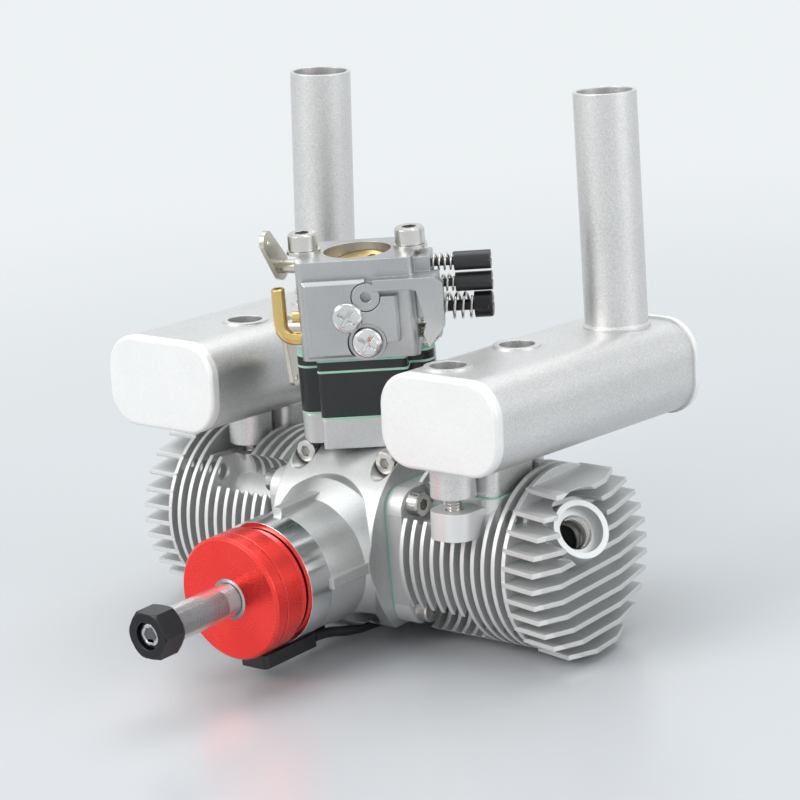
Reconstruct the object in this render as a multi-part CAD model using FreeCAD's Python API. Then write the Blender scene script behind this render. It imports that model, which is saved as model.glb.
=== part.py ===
import FreeCAD, Part
import math
import os

# Flat twin two-stroke model aircraft engine, in millimetres.
# While it is drawn, Y is the crank axis with the propeller end at minus Y, X runs
# through the two cylinders and Z is up. Y = 0 is the plane of the cylinder axes.
# Every piece is moved at the end so that the rear mounting face lies at Y = 0.

V = FreeCAD.Vector
AXIS_X = V(1, 0, 0)
AXIS_Y = V(0, 1, 0)
AXIS_Z = V(0, 0, 1)
CENTRE = V(0, 0, 0)

# Fits used everywhere
thread_play = 0.05
slip_play = 0.08
running_play = 0.06

# Crank train
throw = 12.4
web_radius = 17.5
outer_web = 6.0
centre_web = 4.0
rod_width = 6.0
crankpin_radius = 4.0
main_shaft_radius = 6.0
rear_journal = 10.0
rod_length = 41.6
wrist_pin_radius = 4.0
wrist_pin_bore = 2.4
wrist_pin_end_gap = 1.2
big_end_radius = 7.0
small_end_radius = 5.2
rod_shank = 7.0
crank_end_play = 0.5

# Pistons and cylinders
bore_radius = 15.0
piston_length = 20.0
pin_to_crown = 9.0
piston_wall = 2.4
crown_thickness = 3.6
ring_height = 1.2
ring_depth = 1.3
ring_pitch = 2.6
squish_gap = 0.6
chamber_height = 4.0
chamber_top_radius = 9.0
barrel_wall = 3.5

# Crankcase
case_half_width = 19.1
case_front_radius = 31.0
case_top = 29.0
case_floor = -21.0
case_rear = 28.0
case_split = -9.0
case_corner = 4.0
cavity_wall_gap = 0.8
bearing_outer = 14.0
bearing_width = 8.0
bearing_race = 2.2

# Nose of the front housing
nose_end = -47.5
nose_step = 0.8
nose_draft = 1.2
nose_flare_radius = 22.5
nose_flare_start = -33.0
nose_flare_end = -25.5
rib_thickness = 3.2
rib_end = -22.0
top_rib_proud = 2.5
side_rib_proud = 1.6
side_rib_end = -29.0
shaft_tunnel_radius = 7.5
collar_proud = 0.2
collar_end = -55.9
collar_spigot = 4.0
seal_width = 2.6

# Screws
m4_radius = 2.0
m4_head_radius = 3.5
m4_head_height = 4.0
m4_key = 3.0
m5_radius = 2.5
m5_head_radius = 4.25
m5_head_height = 5.0
m5_key = 4.0
m3_radius = 1.5
m3_head_radius = 2.75
m3_head_height = 3.0
m3_key = 2.5
case_screw_x = 15.0
case_screw_z = 26.3
case_screw_seat = -13.0
case_screw_length = 14.0
low_screw_x = 11.6
low_screw_z = -17.6
low_screw_length = 8.0
pocket_room = 0.5

# Cylinder base
gasket_thickness = 0.5
flange_thickness = 5.4
flange_half_y = 23.0
flange_half_z = 20.3
flange_corner = 6.0
spigot_length = 0.9
base_screw_y = 17.5
base_screw_z = 16.0
base_screw_length = 10.0

# Cylinder fins
fin_radius = 26.8
fin_count = 11
plate_fin_count = 5
fin_pitch = 3.67
fin_thickness = 1.3
plates_end = 64.1
screw_channel_radius = 6.3
key_hole_radius = 2.6

# Head
dome_radius = 19.0
dome_shoulder = 69.0
dome_top = 72.5
dome_top_radius = 11.0
head_fin_count = 11
head_fin_pitch = 4.7
head_fin_thickness = 1.4
head_fin_corner_x = 75.5
head_fin_flare = 2.5
head_fin_peak_x = 79.3
head_fin_peak_back = 6.0
head_fin_mid_x = 78.2
head_fin_rear_x = 74.0
plug_centre = V(57, 0, 0.4)
plug_axis = V(0.82, -0.29, 0.49)
plug_boss_radius = 8.6
plug_boss_start = 12.0
plug_boss_end = 24.3
plug_seat_radius = 6.8
plug_seat_depth = 3.5
plug_thread_radius = 5.0
plug_reach_start = 8.0
plug_relief_end = 11.2
plug_relief_radius = 5.6
plug_spanner_radius = 10.5

# Exhaust side of each cylinder; the port is set off along Y
port_x = 47.0
port_offset = 10.0
port_height = 20.3
port_length = 12.0
port_width = 12.0
port_rim = 4.0
exhaust_screw_spacing = 31.0
outer_lug_drop = 2.4
outer_lug_thickness = 8.0
inner_lug_drop = 1.0
inner_thread_depth = 3.4
outer_thread_depth = 6.0
port_block_depth = 12.0
lug_width = 13.0
lug_end = 6.0
casting_room = 1.0

# Mufflers, drawn square and then pitched with the rear end lower
muffler_pitch = 3.66
muffler_x = 52.4
muffler_rise = 24.75
muffler_width = 41.3
muffler_height = 27.1
muffler_corner = 10.0
muffler_front = -37.8
muffler_rear = 57.0
muffler_wall = 1.2
front_cap_depth = 3.0
front_cap_edge = 1.1
rear_cap_depth = 2.4
rear_cap_lip = 0.7
access_outer = 6.9
access_inner = 5.2
access_lip = 0.6
standoff_radius = 6.5
standoff_end = 1.6
exhaust_gasket = 0.5
pipe_radius = 9.2
pipe_wall = 1.0
weld_bead = 0.7
pipe_top = 106.7
pipe_y = 41.5
pipe_top_x = 53.8
pipe_lean = 1.5

# Intake stack and carburettor, turned about the upright intake bore
intake_y = -3.24
carb_turn = 34.0
shaft_turn = 16.0
neck_top = 38.0
neck_seam = 29.3
neck_root = 20.0
neck_bore = 9.0
stack_half_long = 13.2
stack_half_deep = 12.6
ear_half_long = 20.0
ear_half_deep = 5.6
ear_corner = 4.0
stack_corner = 1.5
intake_gasket = 0.7
insulator_height = 13.2
spacer_height = 2.6
stack_bore = 8.5
carb_height = 29.0
carb_bolt_spacing = 31.0
carb_bolt_length = 54.0
washer_thickness = 1.0
washer_radius = 4.9

# Carburettor body
body_half_long = 17.0
body_half_deep = 13.0
body_bevel = 2.2
air_bore = 9.8
throat_bore = 7.5
air_bore_depth = 15.5
throttle_height = 5.6
choke_depth = 5.4
carb_shaft_radius = 2.0
plate_play = 0.15
plate_thickness = 0.8
lever_gap = 8.0
lever_thickness = 1.4
throttle_arm = 16.5
throttle_arm_width = 6.0
lever_hole = 0.9
throttle_end_gap = 7.0
choke_end_inset = 5.0
choke_arm = 12.0
choke_arm_width = 8.0
choke_rest_tilt = 15.0
spring_outer = 3.3
spring_wire = 0.8
throttle_spring_gap = 2.2
throttle_spring_length = 4.2

# Needles and idle screw
needle_w = 3.0
high_needle_up = 24.7
low_needle_up = 18.5
idle_up = 11.6
needle_depth = 1.4
needle_radius = 1.2
needle_cap_gap = 11.0
needle_cap_length = 10.5
needle_cap_radius = 2.75
needle_spring_outer = 2.6
side_block_reach = 4.5
side_block_low = 14.3
side_block_high = 27.8
side_block_back = -2.5
side_block_front = 8.5
idle_ear_reach = 7.5
idle_ear_low = 9.9
idle_head_gap = 16.0
idle_head_length = 5.3
idle_start_gap = 2.0
driver_slot = 1.2
driver_slot_width = 0.8
idle_head_radius = 3.8
idle_shank_radius = 1.6
idle_spring_outer = 4.0

# Carburettor covers and fittings
pump_cover_thickness = 3.0
pump_cover_left_inset = 2.0
pump_cover_right_inset = 4.8
pump_cover_low = 1.2
pump_cover_high = 23.8
cover_bevel = 1.0
centre_screw_s = -2.5
centre_screw_up = 13.0
centre_screw_head = 4.5
boss_s = 3.2
boss_up = 18.7
boss_radius = 4.0
boss_hole = 1.6
boss_length = 2.9
low_boss_s = 2.6
low_boss_up = 5.3
low_boss_radius = 5.4
low_boss_length = 2.0
pan_head_radius = 4.6
pan_head_height = 2.4
centre_head_height = 2.0
cover_play = 0.3
arm_thickness = 3.5
arm_top = 23.6
arm_drop = 3.2
arm_left_inset = 11.5
arm_reach = 8.5
cover_screw_radius = 1.5
cover_screw_depth = 5.2
metering_screw_radius = 1.25
metering_screw_length = 7.2
metering_screw_inset = 2.6
metering_crown_radius = 8.5
metering_crown_height = 1.0
metering_vent = 1.2
metering_head_radius = 2.2
metering_head_height = 1.4
metering_corner = 2.4
arm_width = 5.5
arm_foot = 3.0
arm_knee = 9.0
metering_half = 13.5
metering_low = 1.5
metering_high = 25.5
metering_thickness = 3.2
elbow_w = 9.0
elbow_up = 6.1
elbow_reach = 5.7
elbow_bend = 4.0
elbow_rise = 11.0
elbow_radius = 2.0
elbow_bore = 1.0
elbow_tip_chamfer = 0.3
brass_plug_w = 9.0
brass_plug_up = 12.4
brass_plug_radius = 1.6
brass_plug_length = 2.2

# Propeller drive
hub_radius = 18.0
hub_rear_inset = 1.6
hub_front = -70.5
hub_rear = -56.4
hub_step = -60.0
hub_chamfer = 0.7
hub_groove = 0.5
stud_radius = 4.0
nut_front = -104.0
nut_height = 8.0
nut_flats = 13.0
stud_recess = 1.0
stud_socket = 4.0
sleeve_outer = 5.0
sleeve_wall = 0.9
magnet_radius = 2.0
magnet_height = 3.0
magnet_y = -62.4
magnet_inset = 0.3

# Rear mount
mount_plate = 4.0
mount_half_x = 28.0
mount_low = -26.6
mount_corner = 6.0
mount_face = 40.0
mount_post_radius = 6.0
mount_spacing_x = 44.0
mount_spacing_z = 36.0
mount_thread_depth = 10.0
mount_hub_radius = 17.0
mount_hub_height = 2.5
rear_screw_x = 13.5
rear_screw_z = 23.5

# Ignition sensor under the propeller hub, with its lead and three-pin plug
sensor_front = -63.6
sensor_rear = -41.0
sensor_half_width = 5.0
sensor_thickness = 4.0
sensor_gap = 0.7
sensor_foot_right = 1.3
sensor_foot_rear = -33.5
sensor_foot_thickness = 3.0
sensor_lug_right = 3.0
sensor_lug_rear = -24.0
sensor_screw_x = -1.8
sensor_screw_y = -37.4
small_screw_radius = 1.5
small_screw_head = 2.7
small_screw_height = 1.8
small_screw_key = 2.0
sensor_screw_length = 5.0
lead_radius = 1.5
lead_side_gap = 0.3
lead_straight = 5.5
lead_drop_y = -27.5
lead_bend_y = -17.0
lead_settle_y = -6.5
lead_exit_drop = 1.9
lead_to_floor = 0.25
plug_y = 4.0
plug_length = 12.0
plug_half_width = 3.8
plug_height = 3.2
plug_pin_pitch = 2.2
plug_pin_size = 0.9
plug_pin_depth = 6.0
lead_clip_y = -2.0
plug_clip_y = 10.0
clip_width = 5.0
clip_wall = 0.6
clip_screw_inset = 5.2
clip_screw_step = 3.0
lead_from_screw = 5.4
clip_screw_length = 5.0
clip_end = 2.9
clip_play = 0.15

# Worked out from the values above
collar_radius = hub_radius + collar_proud
nose_radius = collar_radius - nose_step
nose_root_radius = nose_radius + nose_draft
collar_spigot_radius = (nose_radius + bearing_outer) / 2
hub_rear_radius = hub_radius - hub_rear_inset
lever_reach = body_half_long + lever_gap
throttle_right_end = body_half_long + throttle_end_gap
choke_right_end = body_half_long - choke_end_inset
throttle_spring_start = body_half_long + throttle_spring_gap
needle_start = body_half_long + needle_depth
needle_cap_start = body_half_long + needle_cap_gap
needle_cap_end = needle_cap_start + needle_cap_length
side_block_end = body_half_long + side_block_reach
idle_ear_end = body_half_long + idle_ear_reach
idle_head_start = body_half_long + idle_head_gap
idle_head_end = idle_head_start + idle_head_length
idle_start = body_half_long + idle_start_gap
pump_cover_left = pump_cover_left_inset - body_half_long
pump_cover_right = body_half_long - pump_cover_right_inset
arm_left = body_half_long - arm_left_inset
arm_right = body_half_long + arm_reach
clip_screw_x = case_half_width - clip_screw_inset
lead_x = clip_screw_x - lead_from_screw
cavity_radius = web_radius + cavity_wall_gap
crank_half_length = centre_web / 2 + rod_width + outer_web
cavity_half_length = crank_half_length + crank_end_play
crown_tdc = throw + rod_length + pin_to_crown
flange_x = case_half_width + gasket_thickness
flange_outer_x = flange_x + flange_thickness
barrel_radius = bore_radius + barrel_wall
tilt = math.radians(muffler_pitch)
carb_base = neck_top + insulator_height + spacer_height + 3 * intake_gasket
carb_deck = carb_base + carb_height
throttle_z = carb_base + throttle_height
choke_z = carb_deck - choke_depth
nut_rear = nut_front + nut_height
stud_end = nut_front + stud_recess
sensor_top = -hub_radius - sensor_gap


def cyl(radius, start, axis, length):
    return Part.makeCylinder(radius, length, start, axis)


def tube(outer, inner, start, axis, length):
    return cyl(outer, start, axis, length).cut(cyl(inner, start, axis, length))


def box(x0, x1, y0, y1, z0, z1):
    return Part.makeBox(x1 - x0, y1 - y0, z1 - z0, V(x0, y0, z0))


def fillet_along(shape, axis, radius):
    """Round the straight edges that run along an axis."""
    edges = []
    for edge in shape.Edges:
        if len(edge.Vertexes) != 2:
            continue
        run = edge.Vertexes[1].Point.sub(edge.Vertexes[0].Point)
        if run.Length > 0 and abs(run.dot(axis)) > 0.999 * run.Length:
            edges.append(edge)
    return shape.makeFillet(radius, edges)


def prism(points, run):
    return Part.Face(Part.makePolygon(points + [points[0]])).extrude(run)


def turned(profile, start, axis):
    """Revolve (distance along the axis, radius) pairs into a solid of revolution."""
    across = AXIS_Z if abs(axis.dot(AXIS_Z)) < 0.9 else AXIS_X
    along = V(axis).normalize()
    side = along.cross(across).normalize()
    points = [start + along * a + side * r for a, r in profile]
    face = Part.Face(Part.makePolygon(points + [points[0]]))
    return face.revolve(start, along, 360)


def hexagon(flats, start, axis, length):
    along = V(axis).normalize()
    side = along.cross(AXIS_Z if abs(along.z) < 0.9 else AXIS_X).normalize()
    other = along.cross(side)
    corner = flats / math.sqrt(3)
    points = []
    for i in range(6):
        angle = math.radians(60 * i)
        points.append(start + side * (corner * math.cos(angle)) + other * (corner * math.sin(angle)))
    return prism(points, along * length)


def socket_screw(radius, head_radius, head_height, key, length, seat, run):
    """A socket head screw whose head stands on seat and whose shank goes along run."""
    along = V(run).normalize()
    screw = cyl(radius, seat, along, length)
    screw = screw.fuse(cyl(head_radius, seat - along * head_height, along, head_height))
    depth = head_height * 0.6
    return screw.cut(hexagon(key, seat - along * head_height, along, depth)).removeSplitter()


def join(first, *others):
    return first.fuse(list(others)).removeSplitter()


def group(*solids):
    return Part.makeCompound(list(solids))


def half_turn(shape):
    """The same piece on the left cylinder: turned half round the upright axis."""
    copy = shape.copy()
    copy.rotate(CENTRE, AXIS_Z, 180)
    return copy


def pitched(shape):
    """From the muffler's own square frame to its pitched place above the ports."""
    copy = shape.copy()
    copy.rotate(CENTRE, AXIS_X, -muffler_pitch)
    copy.translate(V(0, 0, port_height))
    return copy


def stack_frame(shape, turn=carb_turn):
    """From the intake's own frame (s along X, w forward along minus Y) to its place."""
    copy = shape.copy()
    copy.rotate(CENTRE, AXIS_Z, turn)
    copy.translate(V(0, intake_y, 0))
    return copy


# Crankcase, front housing and nose

def case_block():
    """Both castings in one: a drum front about the cylinder axis and a square rear."""
    front = cyl(case_front_radius, V(-case_half_width, 0, 0), AXIS_X, 2 * case_half_width)
    front = front.common(box(-case_half_width, case_half_width, -case_front_radius, 0, case_floor, case_top))
    rear = box(-case_half_width, case_half_width, 0, case_rear, case_floor, case_top)
    return fillet_along(rear.fuse(front).removeSplitter(), AXIS_Z, case_corner)


def case_hollows():
    """The crank cavity, the two cylinder mouths and the threads for the cylinder screws."""
    hollows = [
        cyl(cavity_radius, V(0, -cavity_half_length, 0), AXIS_Y, 2 * cavity_half_length),
        cyl(bore_radius + 2 + slip_play, V(-case_half_width, 0, 0), AXIS_X, 2 * case_half_width),
    ]
    depth = base_screw_length - flange_thickness - gasket_thickness + pocket_room
    for side in (-1, 1):
        for y in (-base_screw_y, base_screw_y):
            for z in (-base_screw_z, base_screw_z):
                at = V(side * case_half_width, y, z)
                hollows.append(cyl(m4_radius + thread_play, at, AXIS_X * -side, depth))
    return hollows


def case_screw_places():
    """Each case screw as its place, seat, run, length and sizes: four in front, four behind."""
    m4 = (m4_radius, m4_head_radius, m4_head_height, m4_key)
    m3 = (m3_radius, m3_head_radius, m3_head_height, m3_key)
    back = case_rear + mount_plate
    places = []
    for side in (-1, 1):
        places.append((V(side * case_screw_x, case_screw_seat, case_screw_z), 1, case_screw_length, m4))
        places.append((V(side * low_screw_x, case_screw_seat, low_screw_z), 1, low_screw_length, m3))
        places.append((V(side * rear_screw_x, back, rear_screw_z), -1, case_screw_length, m4))
        places.append((V(side * low_screw_x, back, low_screw_z), -1, low_screw_length + 3, m3))
    return places


def screw_threads():
    return [cyl(size[0] + thread_play, seat, AXIS_Y * run, length + pocket_room)
            for seat, run, length, size in case_screw_places()]


def front_screw_pockets():
    """Clearance for the front screws: a hole for the shank and a pocket for the head."""
    cuts = []
    for seat, run, length, size in case_screw_places():
        if run > 0:
            cuts.append(cyl(size[0] + slip_play, seat, AXIS_Y, case_split - case_screw_seat))
            cuts.append(cyl(size[1] + pocket_room, V(seat.x, -40, seat.z), AXIS_Y, 40 + case_screw_seat))
    return cuts


def stack_outline(z, height):
    """The plan of the intake neck: a square block with a rounded ear for each bolt."""
    block = box(-stack_half_long, stack_half_long, -stack_half_deep, stack_half_deep, z, z + height)
    block = fillet_along(block, AXIS_Z, stack_corner)
    ears = box(-ear_half_long, ear_half_long, -ear_half_deep, ear_half_deep, z, z + height)
    return join(block, fillet_along(ears, AXIS_Z, ear_corner))


def bolt_holes(z, height, play):
    holes = []
    for side in (-1, 1):
        at = V(side * carb_bolt_spacing / 2, 0, z)
        holes.append(cyl(m5_radius + play, at, AXIS_Z, height))
    return holes


def crankcase():
    block = case_block().common(box(-60, 60, case_split, 60, -60, 60))
    neck = stack_frame(stack_outline(neck_root, neck_top - neck_root))
    below_seam = box(-60, 60, -60, case_split, neck_root - 1, neck_seam)
    block = join(block, neck.cut(below_seam))
    carb_thread = carb_bolt_length - (carb_deck - neck_top) - washer_thickness + pocket_room
    cuts = case_hollows() + screw_threads()
    cuts += [stack_frame(hole) for hole in bolt_holes(neck_top - carb_thread, carb_thread, thread_play)]
    cuts.append(cyl(neck_bore, V(0, intake_y, 0), AXIS_Z, neck_top))
    cuts.append(cyl(bearing_outer, V(0, cavity_half_length, 0), AXIS_Y, bearing_width + crank_end_play))
    cuts.append(cyl(main_shaft_radius + 2, V(0, cavity_half_length, 0), AXIS_Y, rear_journal + 2))
    cuts += [cyl(small_screw_radius + thread_play, place, AXIS_Z, clip_screw_length)
             for place in clip_screw_places()]
    cuts += [pocket.common(box(-60, 60, -60, case_split, -60, 60)) for pocket in front_screw_pockets()]
    for cut in cuts:
        block = block.cut(cut)
    return block


def front_housing():
    block = case_block().common(box(-60, 60, -60, case_split, -60, 60))
    nose = turned([
        (nose_end, 0),
        (nose_end, nose_radius),
        (nose_flare_start, nose_root_radius),
        (nose_flare_end, nose_flare_radius),
        (case_split, nose_flare_radius),
        (case_split, 0),
    ], CENTRE, AXIS_Y)
    half = rib_thickness / 2
    reach = nose_radius + side_rib_proud
    top_rib = box(-half, half, nose_end, rib_end, 0, nose_radius + top_rib_proud)
    nose = nose.fuse(box(-reach, reach, nose_end, side_rib_end, -half, half))
    nose = nose.common(box(-case_half_width, case_half_width, nose_end, case_split, case_floor, case_top))
    lug = box(-sensor_half_width, sensor_lug_right, sensor_rear + 0.4, sensor_lug_rear, sensor_top, -15)
    block = join(block, nose, top_rib, lug)
    lug_thread = sensor_screw_length - sensor_foot_thickness + pocket_room
    cuts = case_hollows() + front_screw_pockets()
    cuts.append(cyl(bearing_outer, V(0, -cavity_half_length - bearing_width, 0), AXIS_Y, bearing_width))
    cuts.append(cyl(shaft_tunnel_radius, V(0, nose_end, 0), AXIS_Y, -nose_end))
    cuts.append(cyl(collar_spigot_radius + slip_play, V(0, nose_end, 0), AXIS_Y, collar_spigot))
    cuts.append(cyl(small_screw_radius + thread_play, V(sensor_screw_x, sensor_screw_y, sensor_top),
                    AXIS_Z, lug_thread))
    for cut in cuts:
        block = block.cut(cut)
    return block


def nose_collar():
    ring = cyl(collar_radius, V(0, collar_end, 0), AXIS_Y, nose_end - collar_end)
    ring = ring.fuse(cyl(collar_spigot_radius, V(0, nose_end, 0), AXIS_Y, collar_spigot - 0.2))
    seat_start = collar_end + seal_width + 0.2
    seat = cyl(bearing_outer, V(0, seat_start, 0), AXIS_Y, bearing_width)
    seal_seat = cyl(bearing_outer - 2, V(0, collar_end, 0), AXIS_Y, 20)
    return ring.removeSplitter().cut([seat, seal_seat])


def bearing(start):
    """A shielded ball bearing: two races with the shielded gap between them."""
    outer = tube(bearing_outer, bearing_outer - bearing_race, V(0, start, 0), AXIS_Y, bearing_width)
    inner = tube(main_shaft_radius + bearing_race, main_shaft_radius + running_play, V(0, start, 0),
                 AXIS_Y, bearing_width)
    shield_start = V(0, start + 0.6, 0)
    shield = tube(bearing_outer - bearing_race, main_shaft_radius + bearing_race, shield_start,
                  AXIS_Y, bearing_width - 1.2)
    return join(outer, shield, inner)


def main_bearings():
    return group(
        bearing(-cavity_half_length - bearing_width),
        bearing(cavity_half_length),
        bearing(collar_end + seal_width + 0.2),
    )


def oil_seal():
    return tube(bearing_outer - 2, main_shaft_radius + running_play, V(0, collar_end, 0), AXIS_Y, seal_width)


def case_screws():
    screws = []
    for seat, run, length, (radius, head_radius, head_height, key) in case_screw_places():
        screws.append(socket_screw(radius, head_radius, head_height, key, length, seat, AXIS_Y * run))
    return group(*screws)


def rear_mount():
    """The rear plate: it closes the bearing bore and carries four threaded posts."""
    plate = box(-mount_half_x, mount_half_x, case_rear, case_rear + mount_plate, mount_low, case_top)
    plate = fillet_along(plate, AXIS_Y, mount_corner)
    cap = cyl(mount_hub_radius, V(0, case_rear, 0), AXIS_Y, mount_plate + mount_hub_height)
    posts = []
    holes = []
    for x in (-mount_spacing_x / 2, mount_spacing_x / 2):
        for z in (-mount_spacing_z / 2, mount_spacing_z / 2):
            posts.append(cyl(mount_post_radius, V(x, case_rear, z), AXIS_Y, mount_face - case_rear))
            holes.append(cyl(m5_radius, V(x, mount_face - mount_thread_depth, z), AXIS_Y, mount_thread_depth))
    for seat, run, length, size in case_screw_places():
        if run < 0:
            holes.append(cyl(size[0] + slip_play, seat, AXIS_Y * -1, mount_plate))
    return join(plate, cap, *posts).cut(holes)


# Cylinders

def head_fin_outline(z):
    """The plan of one head fin: it starts on the round plate and flares forward."""
    half = math.sqrt(fin_radius ** 2 - z ** 2)
    start = plates_end - fin_thickness
    return [
        V(start, -half, z),
        V(head_fin_corner_x, -half - head_fin_flare, z),
        V(head_fin_peak_x, -half + head_fin_peak_back, z),
        V(head_fin_mid_x, half * 0.3, z),
        V(head_fin_rear_x, half, z),
        V(start, half, z),
    ]


def plug_run():
    return V(plug_axis).normalize()


def plug_point(along):
    return plug_centre + plug_run() * along


def finned_barrel():
    """Barrel, round fins and head dome, turned about the cylinder axis."""
    first_fin = plates_end - fin_thickness - (fin_count - 1) * fin_pitch
    profile = [(flange_x, 0), (flange_x, barrel_radius)]
    for i in range(fin_count):
        x = first_fin + i * fin_pitch
        profile.append((x, barrel_radius))
        profile.append((x, fin_radius))
        profile.append((x + fin_thickness, fin_radius))
        profile.append((x + fin_thickness, barrel_radius))
    profile += [(dome_shoulder, dome_radius), (dome_top, dome_top_radius), (dome_top, 0)]
    return turned(profile, CENTRE, AXIS_X)


def head_fins():
    middle = (head_fin_count - 1) / 2
    spanner = cyl(plug_spanner_radius, plug_point(plug_boss_end - plug_seat_depth), plug_run(), 30)
    fins = []
    for i in range(head_fin_count):
        z = (i - middle) * head_fin_pitch
        fin = prism(head_fin_outline(z), V(0, 0, head_fin_thickness))
        fin.translate(V(0, 0, -head_fin_thickness / 2))
        fins.append(fin.cut(spanner))
    return fins


def cylinder():
    """The right cylinder: barrel, plate fins, head and ports as one casting."""
    first_plate = plates_end - fin_thickness - (plate_fin_count - 1) * fin_pitch
    body = finned_barrel()
    channels = []
    for y in (-base_screw_y, base_screw_y):
        for z in (-base_screw_z, base_screw_z):
            run = first_plate - flange_outer_x - 1
            channel = cyl(screw_channel_radius, V(flange_outer_x, y, z), AXIS_X, run)
            channels.append(channel.cut(cyl(barrel_radius, V(0, 0, 0), AXIS_X, 90)))
            channels.append(cyl(key_hole_radius, V(first_plate - 1, y, z), AXIS_X, 20))
    body = body.cut(channels)
    flange = box(flange_x, flange_outer_x, -flange_half_y, flange_half_y, -flange_half_z, flange_half_z)
    flange = fillet_along(flange, AXIS_X, flange_corner)
    spigot = cyl(bore_radius + 2, V(flange_x - spigot_length, 0, 0), AXIS_X, spigot_length + 1)
    body = join(body, flange, spigot)
    for fin in head_fins():
        body = body.fuse(fin)
    boss = cyl(plug_boss_radius, plug_point(plug_boss_start), plug_run(), plug_boss_end - plug_boss_start)
    body = body.fuse(boss)
    bore_start = flange_x - spigot_length
    bore_end = crown_tdc + squish_gap
    bore = turned([
        (bore_start, 0),
        (bore_start, bore_radius),
        (bore_end, bore_radius),
        (bore_end + chamber_height, chamber_top_radius),
        (bore_end + chamber_height, 0),
    ], CENTRE, AXIS_X)
    inner = plug_point(plug_reach_start)
    thread = cyl(plug_thread_radius, inner, plug_run(), plug_boss_end - plug_reach_start)
    relief = cyl(plug_relief_radius, inner, plug_run(), plug_relief_end - plug_reach_start)
    seat = cyl(plug_seat_radius, plug_point(plug_boss_end - plug_seat_depth), plug_run(), 30)
    holes = [bore, thread, relief, seat]
    for y in (-base_screw_y, base_screw_y):
        for z in (-base_screw_z, base_screw_z):
            holes.append(cyl(m4_radius + slip_play, V(flange_x, y, z), AXIS_X, flange_thickness))
    for hole in holes:
        body = body.cut(hole)
    return body


def exhaust_screw_places(side):
    """Each muffler screw in the muffler frame: its place, the lug's drop and the thread's depth.

    The port is set off from the cylinder axis, so the outer screw stands clear of the
    barrel and the inner one over it. The left cylinder is the same casting turned round.
    """
    duct_y = -side * port_offset
    outer = V(side * port_x, duct_y - side * exhaust_screw_spacing / 2, 0)
    inner = V(side * port_x, duct_y + side * exhaust_screw_spacing / 2, 0)
    return [(outer, outer_lug_drop, outer_thread_depth), (inner, inner_lug_drop, inner_thread_depth)]


def exhaust_saddle(side):
    """The port block on top of the barrel, with a threaded lug on each side of it."""
    duct_y = -side * port_offset
    half_x = port_length / 2 + port_rim
    half_y = port_width / 2 + port_rim
    saddle = box(side * port_x - half_x, side * port_x + half_x, duct_y - half_y, duct_y + half_y,
                 -port_block_depth, 0)
    saddle = fillet_along(saddle, AXIS_Z, 3.0)
    for place, drop, depth in exhaust_screw_places(side):
        end = place.y + math.copysign(lug_end, place.y - duct_y)
        low_y, high_y = sorted((duct_y, end))
        lug = box(place.x - lug_width / 2, place.x + lug_width / 2, low_y, high_y,
                  -outer_lug_thickness - drop, -drop)
        saddle = saddle.fuse(fillet_along(lug, AXIS_Z, lug_end - 0.7))
    return pitched(saddle.removeSplitter())


def port_cuts(side):
    """What the exhaust joint needs free: the port, the header's room, standoffs and threads."""
    half_x = port_length / 2 + port_rim + casting_room
    half_y = port_width / 2 + port_rim + casting_room
    duct_y = -side * port_offset
    port = box(-port_length / 2, port_length / 2, -port_width / 2, port_width / 2,
               bore_radius - 6, port_height + 4)
    port.translate(V(side * port_x, duct_y, 0))
    header = box(side * port_x - half_x, side * port_x + half_x, duct_y - half_y, duct_y + half_y, 0, 15)
    cuts = [port, pitched(header)]
    for place, drop, depth in exhaust_screw_places(side):
        at = V(place.x, place.y, -drop)
        cuts.append(pitched(cyl(standoff_radius + casting_room, at, AXIS_Z, 15)))
        cuts.append(pitched(cyl(m5_radius + thread_play, at, AXIS_Z * -1, depth)))
    inner = exhaust_screw_places(side)[1][0]
    half_x = standoff_radius + casting_room
    low_y, high_y = sorted((inner.y, inner.y + side * (fin_radius - inner.y * side)))
    cuts.append(pitched(box(inner.x - half_x, inner.x + half_x, low_y, high_y, -inner_lug_drop, 15)))
    return cuts


def finish_ports(body, side):
    """Add the pitched exhaust saddle above the bore and cut what passes through it."""
    saddle = exhaust_saddle(side).cut(cyl(barrel_radius - 1, V(-90, 0, 0), AXIS_X, 180))
    body = body.fuse(saddle)
    for cut in port_cuts(side):
        body = body.cut(cut)
    return body


def cylinder_right():
    return finish_ports(cylinder(), 1)


def cylinder_left():
    return finish_ports(half_turn(cylinder()), -1)


def base_gaskets():
    gasket = box(case_half_width, flange_x, -flange_half_y, flange_half_y, -flange_half_z, flange_half_z)
    gasket = fillet_along(gasket, AXIS_X, flange_corner)
    gasket = gasket.cut(cyl(bore_radius + 2 + slip_play, V(case_half_width, 0, 0), AXIS_X, 5))
    for y in (-base_screw_y, base_screw_y):
        for z in (-base_screw_z, base_screw_z):
            gasket = gasket.cut(cyl(m4_radius + slip_play, V(case_half_width, y, z), AXIS_X, 5))
    return group(gasket, half_turn(gasket))


def cylinder_screws():
    screws = []
    for y in (-base_screw_y, base_screw_y):
        for z in (-base_screw_z, base_screw_z):
            screw = socket_screw(m4_radius, m4_head_radius, m4_head_height, m4_key, base_screw_length,
                                 V(flange_outer_x, y, z), AXIS_X * -1)
            screws += [screw, half_turn(screw)]
    return group(*screws)


# Exhaust

def oval_bar(side, inset, y0, y1):
    """The muffler's section, a rectangle with large round corners, from y0 to y1."""
    centre = side * muffler_x
    half_w = muffler_width / 2 - inset
    half_h = muffler_height / 2 - inset
    bar = box(centre - half_w, centre + half_w, y0, y1, muffler_rise - half_h, muffler_rise + half_h)
    return fillet_along(bar, AXIS_Y, muffler_corner - inset)


def muffler_outer(side):
    return oval_bar(side, 0, muffler_front, muffler_rear)


def pipe_axis(side):
    lean = math.radians(pipe_lean)
    return V(-side * math.sin(lean), 0, math.cos(lean))


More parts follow.
